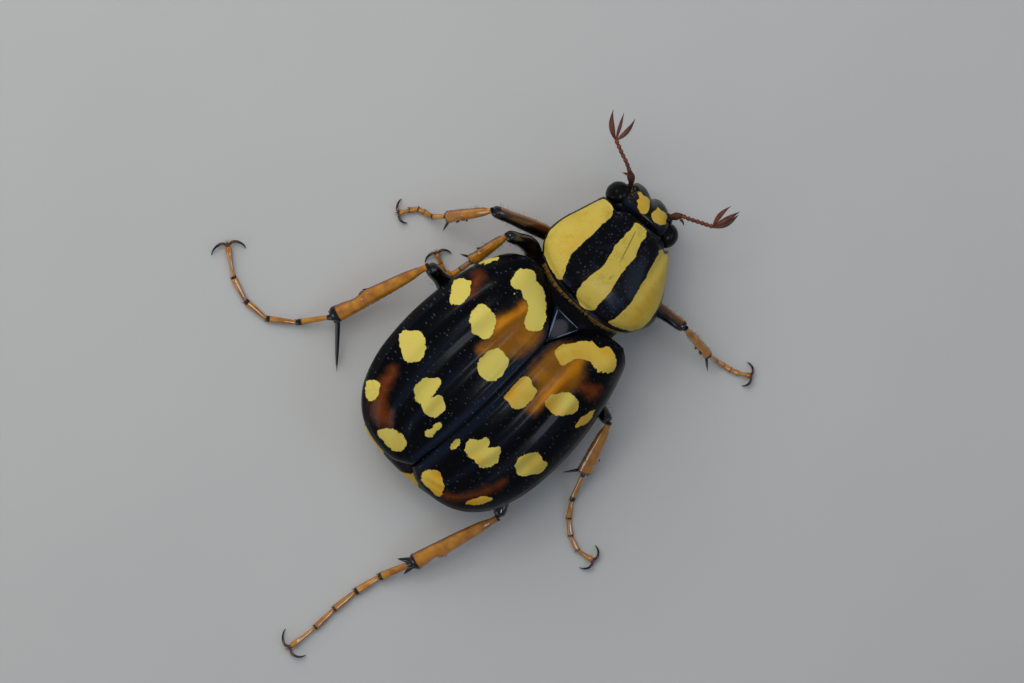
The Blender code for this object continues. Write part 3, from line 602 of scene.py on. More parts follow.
spotsLeft = [
    [(-5.68, -0.42), (-5.74, -0.28), (-5.58, 0.12), (-5.38, 0.46), (-5.24, 0.64), (-5.19, 0.58),
     (-5.28, 0.38), (-5.45, 0.0), (-5.6, -0.3)],
    [(-5.68, -3.07), (-5.88, -2.74), (-6.0, -2.17), (-5.86, -1.77), (-5.56, -1.45), (-5.36, -1.55),
     (-5.16, -2.06), (-5.11, -2.6), (-5.21, -3.03), (-5.47, -3.2)],
    [(-4.21, -3.13), (-4.38, -2.64), (-4.32, -2.08), (-3.96, -1.84), (-3.27, -1.89), (-2.87, -2.38),
     (-2.69, -2.88), (-2.8, -3.31), (-3.19, -3.45), (-3.6, -3.56), (-3.87, -3.38)],
    [(-6.0, -6.96), (-6.22, -6.47), (-6.07, -6.0), (-5.67, -5.68), (-5.23, -5.72), (-4.79, -6.01),
     (-4.59, -6.41), (-4.54, -6.9), (-4.75, -7.28), (-5.21, -7.4), (-5.58, -7.21)],
    [(-1.89, -4.88), (-2.14, -4.37), (-2.17, -3.65), (-1.88, -3.25), (-1.39, -3.12), (-0.85, -3.13),
     (-0.66, -3.55), (-0.55, -4.2), (-0.8, -4.87), (-1.33, -5.03)],
    [(-3.46, -8.35), (-3.72, -7.9), (-3.66, -7.37), (-3.27, -7.01), (-3.0, -6.84), (-2.76, -6.99),
     (-2.64, -7.49), (-2.51, -7.84), (-2.26, -7.42), (-1.79, -7.58), (-1.46, -7.97), (-1.47, -8.47),
     (-1.77, -8.77), (-2.23, -8.84), (-2.63, -8.61), (-3.01, -8.68)],
    [(-1.1, -9.75), (-1.24, -9.55), (-1.14, -9.21), (-1.24, -8.97), (-1.06, -8.63), (-0.86, -8.75),
     (-0.79, -9.1), (-0.76, -9.49), (-0.96, -9.74)],
    [(-5.24, -10.34), (-5.48, -10.0), (-5.5, -9.66), (-5.18, -9.44), (-4.92, -9.62), (-4.64, -10.12),
     (-4.6, -10.44), (-4.7, -10.6), (-5.02, -10.54)],
    [(-3.1, -11.58), (-3.02, -11.19), (-2.57, -10.77), (-1.95, -10.7), (-1.48, -10.89), (-1.25, -11.26),
     (-1.4, -11.61), (-1.85, -11.76), (-2.54, -11.75)],
    [(-3.92, 0.17), (-4.16, 0.67), (-4.01, 1.16), (-3.55, 1.52), (-3.11, 1.46), (-2.93, 1.16), (-2.46, 1.19),
     (-1.7, 0.86), (-1.26, 0.43), (-0.92, -0.08), (-0.83, -0.73), (-1.23, -1.11), (-1.68, -1.09),
     (-1.99, -0.64), (-2.18, -0.22), (-2.86, 0.01), (-3.21, 0.21), (-3.44, 0.06), (-3.7, 0.02)],
    [(-3.43, -0.25), (-3.44, -0.16), (-3.35, -0.13), (-3.31, -0.23), (-3.37, -0.27)],
]
spotsRight = [
    [(0.81, -0.99), (0.68, -0.59), (0.95, -0.15), (1.49, 0.47), (2.01, 0.94), (2.65, 1.07), (3.11, 1.45),
     (3.64, 1.37), (4.01, 1.11), (4.26, 0.6), (4.13, 0.43), (4.12, 0.26), (3.95, 0.3), (3.86, 0.1),
     (3.7, 0.15), (3.6, -0.09), (3.42, 0.06), (3.21, -0.01), (2.72, 0.0),
     (2.22, -0.15), (1.88, -0.6), (1.79, -1.06), (1.46, -1.29)],
    [(0.45, -4.92), (0.36, -4.1), (0.37, -3.41), (0.64, -3.06), (1.05, -3.15), (1.64, -3.37), (1.81, -3.81),
     (1.72, -4.65), (1.4, -4.95), (1.0, -5.02)],
    [(2.54, -3.53), (2.4, -3.06), (2.59, -2.69), (3.13, -2.11), (3.82, -2.04), (4.19, -2.19), (4.38, -2.63),
     (3.94, -3.32), (3.61, -3.5), (3.14, -3.68)],
    [(5.02, -3.17), (4.97, -2.71), (5.06, -2.18), (5.26, -1.7), (5.47, -1.96), (5.54, -2.5), (5.36, -2.99),
     (5.13, -3.28)],
    [(0.38, -9.16), (0.31, -8.81), (0.46, -8.53), (0.7, -8.65), (0.79, -8.97), (0.61, -9.24)],
    [(1.05, -8.61), (0.88, -8.05), (1.3, -7.71), (1.44, -7.33), (1.79, -7.39), (1.99, -7.76), (2.0, -8.07),
     (2.18, -7.49), (2.42, -7.19), (2.69, -7.34), (2.85, -7.66), (3.12, -7.88), (3.03, -8.42), (2.67, -8.83),
     (2.25, -8.88), (1.92, -8.8), (1.45, -8.87)],
    [(3.98, -7.34), (3.84, -6.99), (4.0, -6.46), (4.45, -5.94), (5.02, -5.98), (5.53, -5.97), (5.66, -6.35),
     (5.52, -6.84), (4.71, -7.61), (4.33, -7.43)],
    [(0.85, -11.8), (0.62, -11.38), (0.85, -10.9), (1.27, -10.73), (1.69, -10.97), (2.12, -11.21),
     (2.39, -11.77), (1.97, -11.88), (1.38, -11.91)],
    [(3.77, -11.02), (3.78, -10.55), (4.14, -10.01), (4.59, -9.64), (4.64, -9.99), (4.4, -10.49),
     (3.93, -10.95)],
]
amberPatches = [
    [(-2.44, -0.03), (-2.68, -0.86), (-3.09, -2.0), (-2.5, -3.07), (-2.67, -3.83), (-2.21, -3.99),
     (-1.04, -3.16), (-0.55, -1.95), (-0.67, -0.73)],
    [(0.58, -0.76), (0.47, -2.34), (0.62, -3.11), (1.5, -3.2), (2.0, -4.45), (2.55, -4.3), (2.6, -3.29),
     (3.1, -2.2), (3.15, -1.2), (2.7, -0.3), (2.39, 0.2), (1.5, 0.1)],
]
rustPatches = [
    [(-5.55, -1.0), (-5.17, -0.77), (-5.07, -1.38), (-5.03, -2.06), (-5.16, -2.06), (-5.37, -1.57)],
    [(-5.19, -8.16), (-5.23, -8.7), (-5.06, -9.62), (-4.6, -10.44), (-4.01, -10.95), (-3.32, -11.18),
     (-2.94, -10.92), (-3.46, -10.29), (-4.12, -10.01), (-4.59, -9.24), (-4.83, -8.55)],
    [(2.33, -11.53), (2.89, -11.19), (3.29, -10.69), (3.61, -9.84), (3.91, -9.23), (4.23, -8.47),
     (4.41, -8.62), (4.14, -9.43), (3.86, -10.2), (3.48, -10.85), (2.9, -11.47)],
    [(3.2, -1.23), (3.81, -0.86), (4.45, -0.63), (4.82, -1.1), (4.33, -1.48), (3.53, -1.54)],
]
# a painted highlight: a brighter line along the rib in each amber patch
amberRibHighlightLines = [((-2.45, -0.3), (-3.0, -3.2)), ((2.3, -0.4), (2.35, -4.0))]


def sutureHeight(y):
    front = suture["top"] - suture["frontFall"] * (y - suture["topAt"]) ** 2
    share = np.maximum(0, suture["topAt"] - y) / suture["rearLength"]
    return np.where(y > suture["topAt"], front, suture["top"] - suture["rearFall"] * share**2.4)


def elytronPoint(across, along, below):
    outer = smoothPath(elytron["outer"], along)
    tangent = (smoothPath(elytron["outer"], np.minimum(along + 0.01, 1))
               - smoothPath(elytron["outer"], np.maximum(along - 0.01, 0)))
    tangent /= np.linalg.norm(tangent, axis=-1)[..., None]
    inner = np.stack([smoothProfile(list(zip(elytron["innerAt"], column)), along)
                      for column in zip(*elytron["inner"])], axis=-1)
    inner[..., 0] = np.maximum(inner[..., 0], 0.015)
    margin = elytron["marginHeight"] + elytron["shoulderLift"] * np.exp(-((along / 0.08) ** 1.5))
    crest = sutureHeight(inner[..., 1])
    if below:
        outer = outer + elytron["rim"] * np.stack([tangent[..., 1], -tangent[..., 0]], axis=-1)
        margin = margin - 0.1
        crest = crest - elytron["thickness"]
    outer[..., 0] = np.maximum(outer[..., 0], 0.03)
    across = across if below else 1 - (1 - across) ** 1.12  # closer rows at the steep outer edge
    x = inner[..., 0] + (outer[..., 0] - inner[..., 0]) * across
    y = inner[..., 1] + (outer[..., 1] - inner[..., 1]) * across
    z = margin + (crest - margin) * dome(across, elytron["roundness"])
    nearBase = np.maximum(0, 1 - along / 0.09) ** 2
    z = z - elytron["baseDrop"] * nearBase * dome(across, 2)
    y = y + elytron["baseBulge"] * np.sin(np.pi * across) * nearBase
    if below:
        y = y - 0.3 * nearBase
    for (bumpX, bumpY), height, radius in bumps:
        z = z + height * np.exp(-((x - bumpX) ** 2 + (y - bumpY) ** 2) / radius**2)
    if not below:
        fade = np.clip((along - 0.12) / 0.15, 0, 1) * np.clip((0.95 - along) / 0.2, 0, 1)
        for at, height, width in elytron["ribs"]:
            aside = np.abs(across - at)
            z = z + height * fade * (hump(aside, width) - 0.5 * hump(aside - 2 * width, width))
        fromSuture = x - inner[..., 0]
        z = z + suture["bead"] * np.clip((along - 0.05) / 0.1, 0, 1) * (
            hump(fromSuture - suture["beadAt"], suture["beadWidth"]) - 0.4 * hump(fromSuture, 0.06)
            - 0.7 * hump(fromSuture - 0.62, 0.2))
        z = z + 0.05 * hump(1 - across, 0.012) - 0.03 * hump(across - 0.965, 0.014)
    return x, y, z


def halfOutline(y):
    points = smoothPath(elytron["outer"], np.linspace(0, 0.82, 80))
    return np.interp(-y, -points[:, 1], points[:, 0])


def wingMarks(places):
    plan = unturned(places, hindYaw, hindOrigin)
    x, y = plan.T
    # streak marks the painted highlight line along the rib in each amber patch
    streak = np.zeros(len(places))
    for (x0, y0), (x1, y1) in amberRibHighlightLines:
        along = np.clip((y - y0) / (y1 - y0), 0, 1)
        streak = np.maximum(streak, hump(x - x0 - (x1 - x0) * along, 0.28) * hump(y - (y0 + y1) / 2, 2.2))
    warmRight = 0.3 * hump(y - 0.6, 1.8) + 0.34 * hump(y + 4, 1.6) + 0.1
    warm = np.where(x > 0, warmRight, -0.12) + 0.3 * hump(y + 11, 1.6)
    across = np.abs(x) / halfOutline(y)
    # where a bluish sheen is painted: along the first two ribs and beside the suture, on the upper surface
    # only
    ridge = sum(hump(across - at, width * 0.8) for at, _, width in elytron["ribs"][:2]) * 0.5
    besideSuture = hump(np.abs(x) - 0.38, 0.26) * np.clip((0.5 - y) / 2, 0, 1)
    ridge = ridge * np.clip((-1.5 - y) / 3, 0, 1) + besideSuture
    return {
        "ridge": ridge * np.clip((places[:, 2] - 3.8) / 0.6, 0, 1),
        "rowAcross": across * 6.3 / 0.34,
        "rowAlong": y / 0.2 + 40,
        "spotMark": markDistance(plan, spotsLeft + spotsRight, 0.6),
        "amberMark": markDistance(plan, amberPatches, 1.2),
        "rustMark": markDistance(plan, rustPatches, 1.2),
        "streak": streak,
        "warm": warm,
    }


for side, sign in (("left", -1), ("right", 1)):
    def surface(below, sign=sign):
        def point(across, along):
            x, y, z = elytronPoint(across, along, below)
            return hindPoint(sign * x, y, z)
        return point

    shell = sheetShell(*elytron["steps"], surface(False), surface(True))
    finishPiece(f"wingCase_{side}", shell, finishes["wing"], (f"elytron_{side}",),
                wingMarks)


# Pronotum

pronotum = {
    "halfWidth": [(0.0, 3.5), (0.08, 3.98), (0.2, 4.17), (0.36, 4.13), (0.5, 3.98), (0.63, 3.75),
                  (0.74, 3.45), (0.84, 3.17), (0.92, 2.93), (1.0, 2.68)],
    "crest": [(0.0, 5.05), (0.1, 5.45), (0.3, 5.65), (0.5, 5.5), (0.7, 5.15), (0.86, 4.75), (1.0, 4.25)],
    "rearMargin": 3.75, "frontMargin": 2.45, "rearBow": 1.3, "length": 6.08, "eyeBay": 0.32,
    "cornerBack": 0.14, "roundness": 2.3, "thickness": 0.5, "rim": 0.4, "steps": (200, 150),
    "bead": 0.07, "beadWidth": 0.1, "rightFront": 0.34,
}
stripes = [
    [(-2.84, 5.78), (-2.4, 5.95), (-2.06, 5.75), (-2.1, 5.55), (-2.02, 5.23), (-2.26, 4.52), (-2.47, 3.58),
     (-2.6, 2.83), (-2.67, 1.93), (-2.46, 1.25), (-2.23, 0.8), (-2.17, 0.51), (-2.38, 0.43), (-2.98, 0.63),
     (-3.6, 0.8), (-4.3, 1.1), (-4.6, 1.64), (-4.7, 2.45), (-4.6, 3.45), (-4.3, 4.4), (-3.6, 5.3)],
    [(-0.75, 5.78), (-0.38, 5.95), (0.08, 5.88), (0.27, 5.56), (0.21, 5.13), (0.36, 4.44), (0.33, 3.77),
     (0.32, 3.1), (0.38, 2.48), (0.45, 1.76), (0.45, 0.85), (0.48, 0.33), (0.06, 0.08), (-0.36, 0.09),
     (-0.82, 0.38), (-1.12, 0.89), (-1.07, 1.74), (-0.88, 2.58), (-0.87, 3.35), (-0.98, 4.07), (-0.85, 4.97),
     (-0.74, 5.45)],
    [(1.49, 5.56), (1.92, 5.82), (2.4, 5.95), (2.9, 5.5), (3.5, 4.6), (4.1, 3.6), (4.4, 2.4), (4.4, 1.6),
     (4.0, 1.0), (3.22, 0.81), (2.53, 0.54), (1.71, 0.37), (1.83, 0.98), (1.9, 1.92), (1.84, 2.64),
     (1.69, 3.28), (1.75, 3.8), (1.61, 4.34), (1.55, 4.93), (1.63, 5.33)],
]


def pronotumEdges(edgeX):
    rear = pronotum["rearBow"] * (np.abs(edgeX) / 4.1) ** 3
    front = pronotum["length"] - pronotum["eyeBay"] * hump(np.abs(edgeX) - 1.95, 0.4)
    return rear, front - pronotum["cornerBack"] * (np.abs(edgeX) / 2.4) ** 4


def pronotumHalf(side, along):
    # the right front corner stands a little further in than the left one
    return smoothProfile(pronotum["halfWidth"], along) - pronotum["rightFront"] * (side > 0) * along**6


def pronotumPoint(across, along, below):
    share = 2 * across - 1
    if not below:
        share = np.sin(share * np.pi / 2) * 0.35 + share * 0.65  # closer rows at the sides
    halfWidth = pronotumHalf(share, along)
    crest = smoothProfile(pronotum["crest"], along)
    margin = pronotum["rearMargin"] + (pronotum["frontMargin"] - pronotum["rearMargin"]) * along
    edgeX = share * halfWidth
    rear, front = pronotumEdges(edgeX)
    if below:
        edgeX = share * (halfWidth - pronotum["rim"])
        crest, margin, rear, front = crest - pronotum["thickness"], margin - 0.05, rear + 0.35, front - 0.3
    z = margin + (crest - margin) * dome(share, pronotum["roundness"])
    y = rear + (front - rear) * along
    if not below:
        ends = np.minimum(y - rear, front - y)
        z = z + pronotum["bead"] * (hump(ends, pronotum["beadWidth"]) - 0.6 * hump(ends - 0.24, 0.09))
        edgeX = edgeX + np.sign(share) * 0.05 * hump(1 - np.abs(share), 0.012)
    return forePoint(edgeX, y, z)


def pronotumMarks(places):
    plan = unturned(places, foreYaw, foreOrigin)
    x, y = plan.T
    rear, front = pronotumEdges(x)
    along = np.clip((y - rear) / (front - rear), 0, 1)
    above = places[:, 2] - pronotum["rearMargin"] - (pronotum["frontMargin"] - pronotum["rearMargin"]) * along
    rimWidth = 0.1 + 0.36 * hump(along - 0.25, 0.4)
    sideRim = np.where(x > 0, pronotumHalf(x, along) - np.abs(x) - rimWidth, (above - 0.3) * 0.5)
    line = hump(x + 0.33 + 0.14 * (y - 4.5), 0.028) * np.clip((5.6 - y) * 3, 0, 1)
    line = line * np.clip((y - 3.4) * 2, 0, 1)
    warm = 0.3 * hump(x + 3.0, 0.8) * hump(y - 2.6, 1.2) + 0.3 * hump(x - 2.8, 0.7) * hump(y - 2.2, 1.5)
    return {
        "stripeMark": markDistance(plan, stripes, 0.6),
        "rimMark": np.minimum(sideRim, np.minimum(y - rear, front - y) - 0.1),
        "warm": warm - 0.15 * hump(x, 1.0),
        "line": 0.95 * np.maximum(line, hump(x + 0.07, 0.03) * hump(y - 2.45, 0.14)),
    }


shell = sheetShell(*pronotum["steps"], lambda across, along: pronotumPoint(across, along, False),
                   lambda across, along: pronotumPoint(across, along, True))
finishPiece("pronotumShield", shell, finishes["pronotum"], ("pronotum",), pronotumMarks)


# Trunk: prothorax, thorax, abdomen, pygidium and scutellum

# rings along the body: place, half width, top, waist, belly; the thorax has two half widths
prothoraxRings = [(1.0, 2.6, 4.35, 3.0, 1.9), (1.9, 3.1, 4.6, 2.85, 1.6), (3.0, 2.85, 4.4, 2.65, 1.5),
                  (4.1, 2.3, 4.05, 2.55, 1.6), (4.9, 1.55, 3.55, 2.45, 1.85)]
thoraxRings = [(1.4, 2.2, 2.0, 3.4, 2.9, 1.95), (0.7, 3.3, 3.4, 3.85, 3.0, 1.85),
               (-0.6, 4.6, 4.7, 4.7, 3.1, 1.75), (-2.0, 5.0, 5.15, 4.85, 3.15, 1.7),
               (-3.4, 5.3, 5.55, 4.95, 3.2, 1.75)]
abdomen = {"front": -3.4, "rear": -11.2, "plates": 5, "belly": 1.75, "rearBelly": 2.05,
           "waist": 3.2, "flank": 2.85}
coxae = {
    "prothorax": [(-1.5, 4.25, 1.55), (1.35, 4.65, 1.5)],
    "thorax": [(-1.25, 0.55, 1.55), (1.45, -0.25, 1.5), (-1.35, -2.75, 1.5), (1.6, -2.85, 1.5)],
}
trunkRoundness = 2.2


def tableAt(table, share):
    at = evenShares(len(table))
    return [smoothProfile(list(zip(at, column)), share) for column in np.array(table, float).T]


def addBall(bm, centre, radii, yaw=0.0, subdivisions=4, dark=0.0):
    layer = darkLayer(bm)
    verts = bmesh.ops.create_icosphere(bm, subdivisions=subdivisions, radius=1)["verts"]
    bmesh.ops.scale(bm, vec=radii, verts=verts)
    bmesh.ops.rotate(bm, cent=(0, 0, 0), matrix=Matrix.Rotation(math.radians(yaw), 3, "Z"), verts=verts)
    bmesh.ops.translate(bm, vec=centre, verts=verts)
    for vert in verts:
        vert[layer] = dark


def trunkRings(table, place, ringCount, sides):
    rings = []
    angle = ringAngles(sides)
    for share in evenShares(ringCount):
        along, topWidth, flankWidth, top, waist, belly = tableAt(table, share)
        upper = np.sin(angle) >= 0
        width = np.where(upper, topWidth, flankWidth)
        reach = np.where(upper, top - waist, waist - belly)
        rings.append(place(width * superCurve(np.cos(angle), trunkRoundness), along,
                           waist + reach * superCurve(np.sin(angle), trunkRoundness)))
    return rings


bm = bmesh.new()
table = [(along, half, half, top, waist, belly) for along, half, top, waist, belly in prothoraxRings]
addLoft(bm, trunkRings(table, forePoint, 40, 64))
for centre in coxae["prothorax"]:
    addBall(bm, centre, (0.8, 0.62, 0.62))
finishPiece("prothoraxBody", bm, finishes["body"], ("prothorax",))

bm = bmesh.new()
table = [(along, top, flank, height, waist - 0.1, belly)
         for along, top, flank, height, waist, belly in thoraxRings]
addLoft(bm, trunkRings(table, hindPoint, 50, 80))
for centre in coxae["thorax"]:
    addBall(bm, centre, (0.8, 0.62, 0.62))
finishPiece("thoraxBody", bm, finishes["body"], ("thorax",))

bm = bmesh.new()
rings = []
angle = ringAngles(80)
upper = np.sin(angle) >= 0
for plate in range(abdomen["plates"]):
    for place, step in ((0.0, 0.12), (0.05, 0.02), (0.3, 0.0), (0.6, -0.02), (0.9, -0.03), (0.97, 0.0)):
        share = (plate + place) / (abdomen["plates"] - 0.03)
        y = abdomen["front"] + (abdomen["rear"] - abdomen["front"]) * share
        belly = abdomen["belly"] + (abdomen["rearBelly"] - abdomen["belly"]) * share**2
        half = halfOutline(y)
        top = sutureHeight(y) - 0.95 - 0.5 * share**3
        width = np.where(upper, half - 0.9 - 0.5 * share**4, half - 0.32 - step / 2)
        middle = np.where(upper, abdomen["waist"], abdomen["flank"])
        reach = np.where(upper, top - abdomen["waist"], abdomen["flank"] - belly - step)
        rings.append(hindPoint(width * superCurve(np.cos(angle), trunkRoundness), y,
                               middle + reach * superCurve(np.sin(angle), trunkRoundness)))
addLoft(bm, rings)
finishPiece("abdomenPlates", bm, finishes["body"], ("abdomen",))

pygidium = {"front": -11.1, "rear": -12.42, "halfWidth": 3.55, "middle": 2.15, "halfHeight": 0.72,
            "spots": [(-2.3, 2.3, 1.0, 0.55), (0.85, 2.3, 0.7, 0.55)]}  # spot: x, z, half width, half height
bm = bmesh.new()
rings = []
angle = ringAngles(72)
for share in evenShares(30) ** 0.6:
    size = max(0.1, (1 - share**4.5) ** 0.5)
    y = pygidium["front"] + (pygidium["rear"] - pygidium["front"]) * share
    rings.append(hindPoint(pygidium["halfWidth"] * size * superCurve(np.cos(angle), 2.2), y,
                           pygidium["middle"] + pygidium["halfHeight"] * size**0.8 * np.sin(angle)))
addLoft(bm, rings)


def pygidiumMarks(places):
    x = unturned(places, hindYaw, hindOrigin)[:, 0]
    spot = [(np.hypot((x - middleX) / halfWidth, (places[:, 2] - middleZ) / halfHeight) - 1) * 0.5
            for middleX, middleZ, halfWidth, halfHeight in pygidium["spots"]]
    return {"spotMark": np.minimum(*spot), "hasSpots": np.ones(len(places))}


finishPiece("pygidiumPlate", bm, finishes["body"], ("pygidium",), pygidiumMarks)

scutellum = {"corners": [(-1.05, 1.05), (1.05, 1.05), (0.0, -1.0)], "top": 5.66, "thickness": 0.6,
             "lip": 0.16,
             "rims": [[(-0.84, 0.88), (-0.57, 0.36), (-0.31, -0.15), (-0.05, -0.62)],
                      [(0.84, 0.88), (0.57, 0.36), (0.31, -0.15), (0.05, -0.62)],
                      [(-0.8, 0.93), (-0.3, 0.9), (0.3, 0.9), (0.8, 0.93)]],
             "rimWidths": [0.03, 0.075, 0.075, 0.04]}
bm = bmesh.new()
corners = [bm.verts.new(tuple(hindPoint(x, y, scutellum["top"] - scutellum["thickness"])))
           for x, y in scutellum["corners"]]
base = bm.faces.new(corners)
raised = bmesh.ops.extrude_face_region(bm, geom=[base])["geom"]
lid = [part for part in raised if isinstance(part, bmesh.types.BMFace)]
bmesh.ops.translate(bm, vec=(0, 0, scutellum["thickness"]),
                    verts=[part for part in raised if isinstance(part, bmesh.types.BMVert)])
bmesh.ops.inset_region(bm, faces=lid, thickness=scutellum["lip"], depth=0.0)
bmesh.ops.inset_region(bm, faces=lid, thickness=0.1, depth=-0.1)
bmesh.ops.bevel(bm, geom=bm.edges[:], offset=0.035, affect="EDGES", segments=3, profile=0.5, material=-1)
bmesh.ops.triangulate(bm, faces=bm.faces)
outward(bm)
finishPiece("scutellumShield", bm, finishes["scutellum"], ("scutellum",))

# its raised rims, coloured pale blue-white as a painted sheen
bm = bmesh.new()
for rim in scutellum["rims"]:
    path = np.array([hindPoint(x, y, scutellum["top"] + 0.02) for x, y in rim])
    addTube(bm, path, np.array(scutellum["rimWidths"]), None, 12)
outward(bm)
finishPiece("scutellumRims", bm, finishes["rim"])

# The waist between pronotum and wing cases, closed by a dark membrane
waistHeight, waistBelow, waistRoundness = 3.0, 1.0, 2.3
waistYaw, waistOrigin = 3.5, (0.2, 0.0)
bm = bmesh.new()
rings = []
angle = ringAngles(72)
for y, half, top in [(-0.2, 2.6, 4.9), (0.5, 3.1, 4.85), (1.1, 3.2, 4.75), (1.7, 3.3, 4.65), (2.4, 3.35, 4.6),
                     (3.1, 3.3, 4.55), (3.6, 3.1, 4.5)]:
    lift = superCurve(np.sin(angle), waistRoundness)
    reach = np.where(lift > 0, top - waistHeight, waistBelow)
    rings.append(turned(half * superCurve(np.cos(angle), waistRoundness), y, waistHeight + reach * lift,
                        waistYaw, waistOrigin))
addLoft(bm, rings)
finishPiece("waistMembrane", bm, finishes["membrane"])


# Head and eyes

head = {
    # along the head: forward, top, half width, thickness, slope in degrees
    "rings": [(-1.2, 3.1, 1.0, 1.1, 0), (-0.75, 3.35, 1.35, 1.5, 4), (-0.1, 3.72, 1.75, 2.1, 6),
              (0.35, 3.66, 1.75, 1.95, 14), (0.78, 3.25, 1.65, 1.6, 28), (1.1, 2.6, 1.55, 1.2, 46),
              (1.28, 1.95, 1.45, 0.85, 62), (1.38, 1.45, 1.25, 0.5, 74)],
    "roundness": 2.6, "notch": 0.34, "notchWidth": 0.34, "sides": 120, "ringCount": 70,
}
eye = {"reach": 1.92, "forward": 0.0, "height": 2.55, "radii": (0.74, 0.77, 0.76)}
fronsSpots = [
    [(-1.2, 0.84), (-1.02, 0.94), (-0.8, 0.9), (-0.55, 0.98), (-0.32, 0.94), (-0.28, 0.74), (-0.18, 0.55),
     (-0.15, 0.22), (-0.3, 0.07), (-0.56, 0.04), (-0.82, 0.12), (-0.9, 0.32), (-1.06, 0.44), (-0.98, 0.62)],
    [(0.33, 0.95), (0.63, 0.93), (0.98, 0.98), (1.16, 0.85), (1.16, 0.66), (1.26, 0.5), (1.08, 0.34),
     (0.92, 0.24), (0.54, 0.14), (0.15, 0.3), (0.13, 0.52), (0.27, 0.76)],
]


def headRings():
    rings = []
    angle = ringAngles(head["sides"], 0.5)
    for share in evenShares(head["ringCount"]):
        forward, top, half, thickness, slope = tableAt(head["rings"], share)
        x = half * superCurve(np.cos(angle), head["roundness"])
        lift = thickness / 2 * (superCurve(np.sin(angle), head["roundness"]) - 1)
        upper = np.clip(np.sin(angle) * 3, 0, 1)
        front = max(0.0, share - 0.55) / 0.45
        lift = lift - head["notch"] * front * hump(x, head["notchWidth"]) * upper
        lobes = hump(np.abs(x) - 0.85, 0.45) * math.exp(-(((share - 0.75) / 0.14) ** 2))
        dent = hump(x, 0.5) * math.exp(-(((share - 0.5) / 0.12) ** 2))
        lift = lift + 0.1 * lobes * upper - 0.05 * dent * upper
        tilt = math.radians(slope)
        rings.append(headPoint(x, forward + lift * math.sin(tilt), top + lift * math.cos(tilt)))
    return rings


def headMarks(places):
    plan = unturned(places, headYaw, headOrigin)
    above = places[:, 2] > 1.9
    spot = np.where(above, markDistance(plan, fronsSpots, 0.6), 0.6)
    return {"spotMark": spot, "hasSpots": np.ones(len(places))}


bm = bmesh.new()
addLoft(bm, headRings())
for sign in (-1, 1):
    # mouthparts: palp, jaw and chin lobe under the clypeus
    start, middle, end = (headPoint(sign * x, y, z) for x, y, z in
                          ((0.5, 0.35, 1.9), (0.66, 0.85, 1.35), (0.74, 1.12, 0.95)))
    path = smoothPath([start, middle, end], evenShares(14))
    addTube(bm, path, 0.17 * (1 + 0.25 * np.sin(np.linspace(0, 9, 14))) * np.linspace(1, 0.6, 14), None, 12)
    addBall(bm, headPoint(sign * 0.35, 0.6, 1.55), (0.4, 0.5, 0.35), headYaw)
    addBall(bm, headPoint(sign * 1.3, 0.8, 2.6), (0.36, 0.34, 0.4), headYaw)  # root of the antenna
    # cheek and temple that hold the eye from below and behind
    addBall(bm, headPoint(sign * 1.5, -0.35, 2.45), (0.8, 0.72, 0.72), headYaw)
    addBall(bm, headPoint(sign * 1.3, 0.45, 2.2), (0.62, 0.6, 0.6), headYaw)
finishPiece("headCapsule", bm, finishes["head"], ("head",), headMarks)
for side, sign in (("left", -1), ("right", 1)):
    bm = bmesh.new()
    place = headPoint(sign * eye["reach"], eye["forward"], eye["height"])
    addBall(bm, place, eye["radii"], headYaw, 5)
    finishPiece(f"eyeball_{side}", bm, finishes["eye"], (f"eye_{side}",))


# Antennae

antennae = {
    "left": {
        "scape": [(-2.35, 9.0, 2.75), (-2.62, 9.28, 2.95), (-2.98, 9.48, 3.15), (-3.2, 9.56, 3.3)],
        "stalk": [(-3.2, 9.56, 3.3), (-3.62, 9.73, 3.45), (-4.45, 9.98, 3.55), (-5.22, 10.24, 3.6)],
        "bladeTips": [(-6.7, 11.33, 3.85), (-6.06, 11.67, 3.6), (-5.29, 11.9, 3.45)],
        "hook": [(-3.05, 9.35, 3.2), (-3.42, 9.2, 3.25)], "bladeWidths": (0.15, 0.09, 0.13),
    },
    "right": {
        "scape": [(0.55, 9.3, 2.75), (0.78, 9.66, 2.95), (0.9, 9.9, 3.15), (0.98, 10.02, 3.3)],
        "stalk": [(0.98, 10.02, 3.3), (1.22, 10.12, 3.45), (1.95, 10.5, 3.55), (2.71, 10.89, 3.6)],
        "bladeTips": [(2.46, 12.49, 3.95), (3.14, 12.66, 3.7), (3.32, 12.5, 3.35)],
        "hook": [(1.1, 9.8, 3.2), (1.5, 9.7, 3.2)], "bladeWidths": (0.13, 0.14, 0.17),
    },
}
antennaSizes = {"scape": (0.1, 0.21), "beads": 7, "bead": 0.115, "bladeBows": (-0.1, 0.0, 0.09),
                "bladeDepth": 0.09}

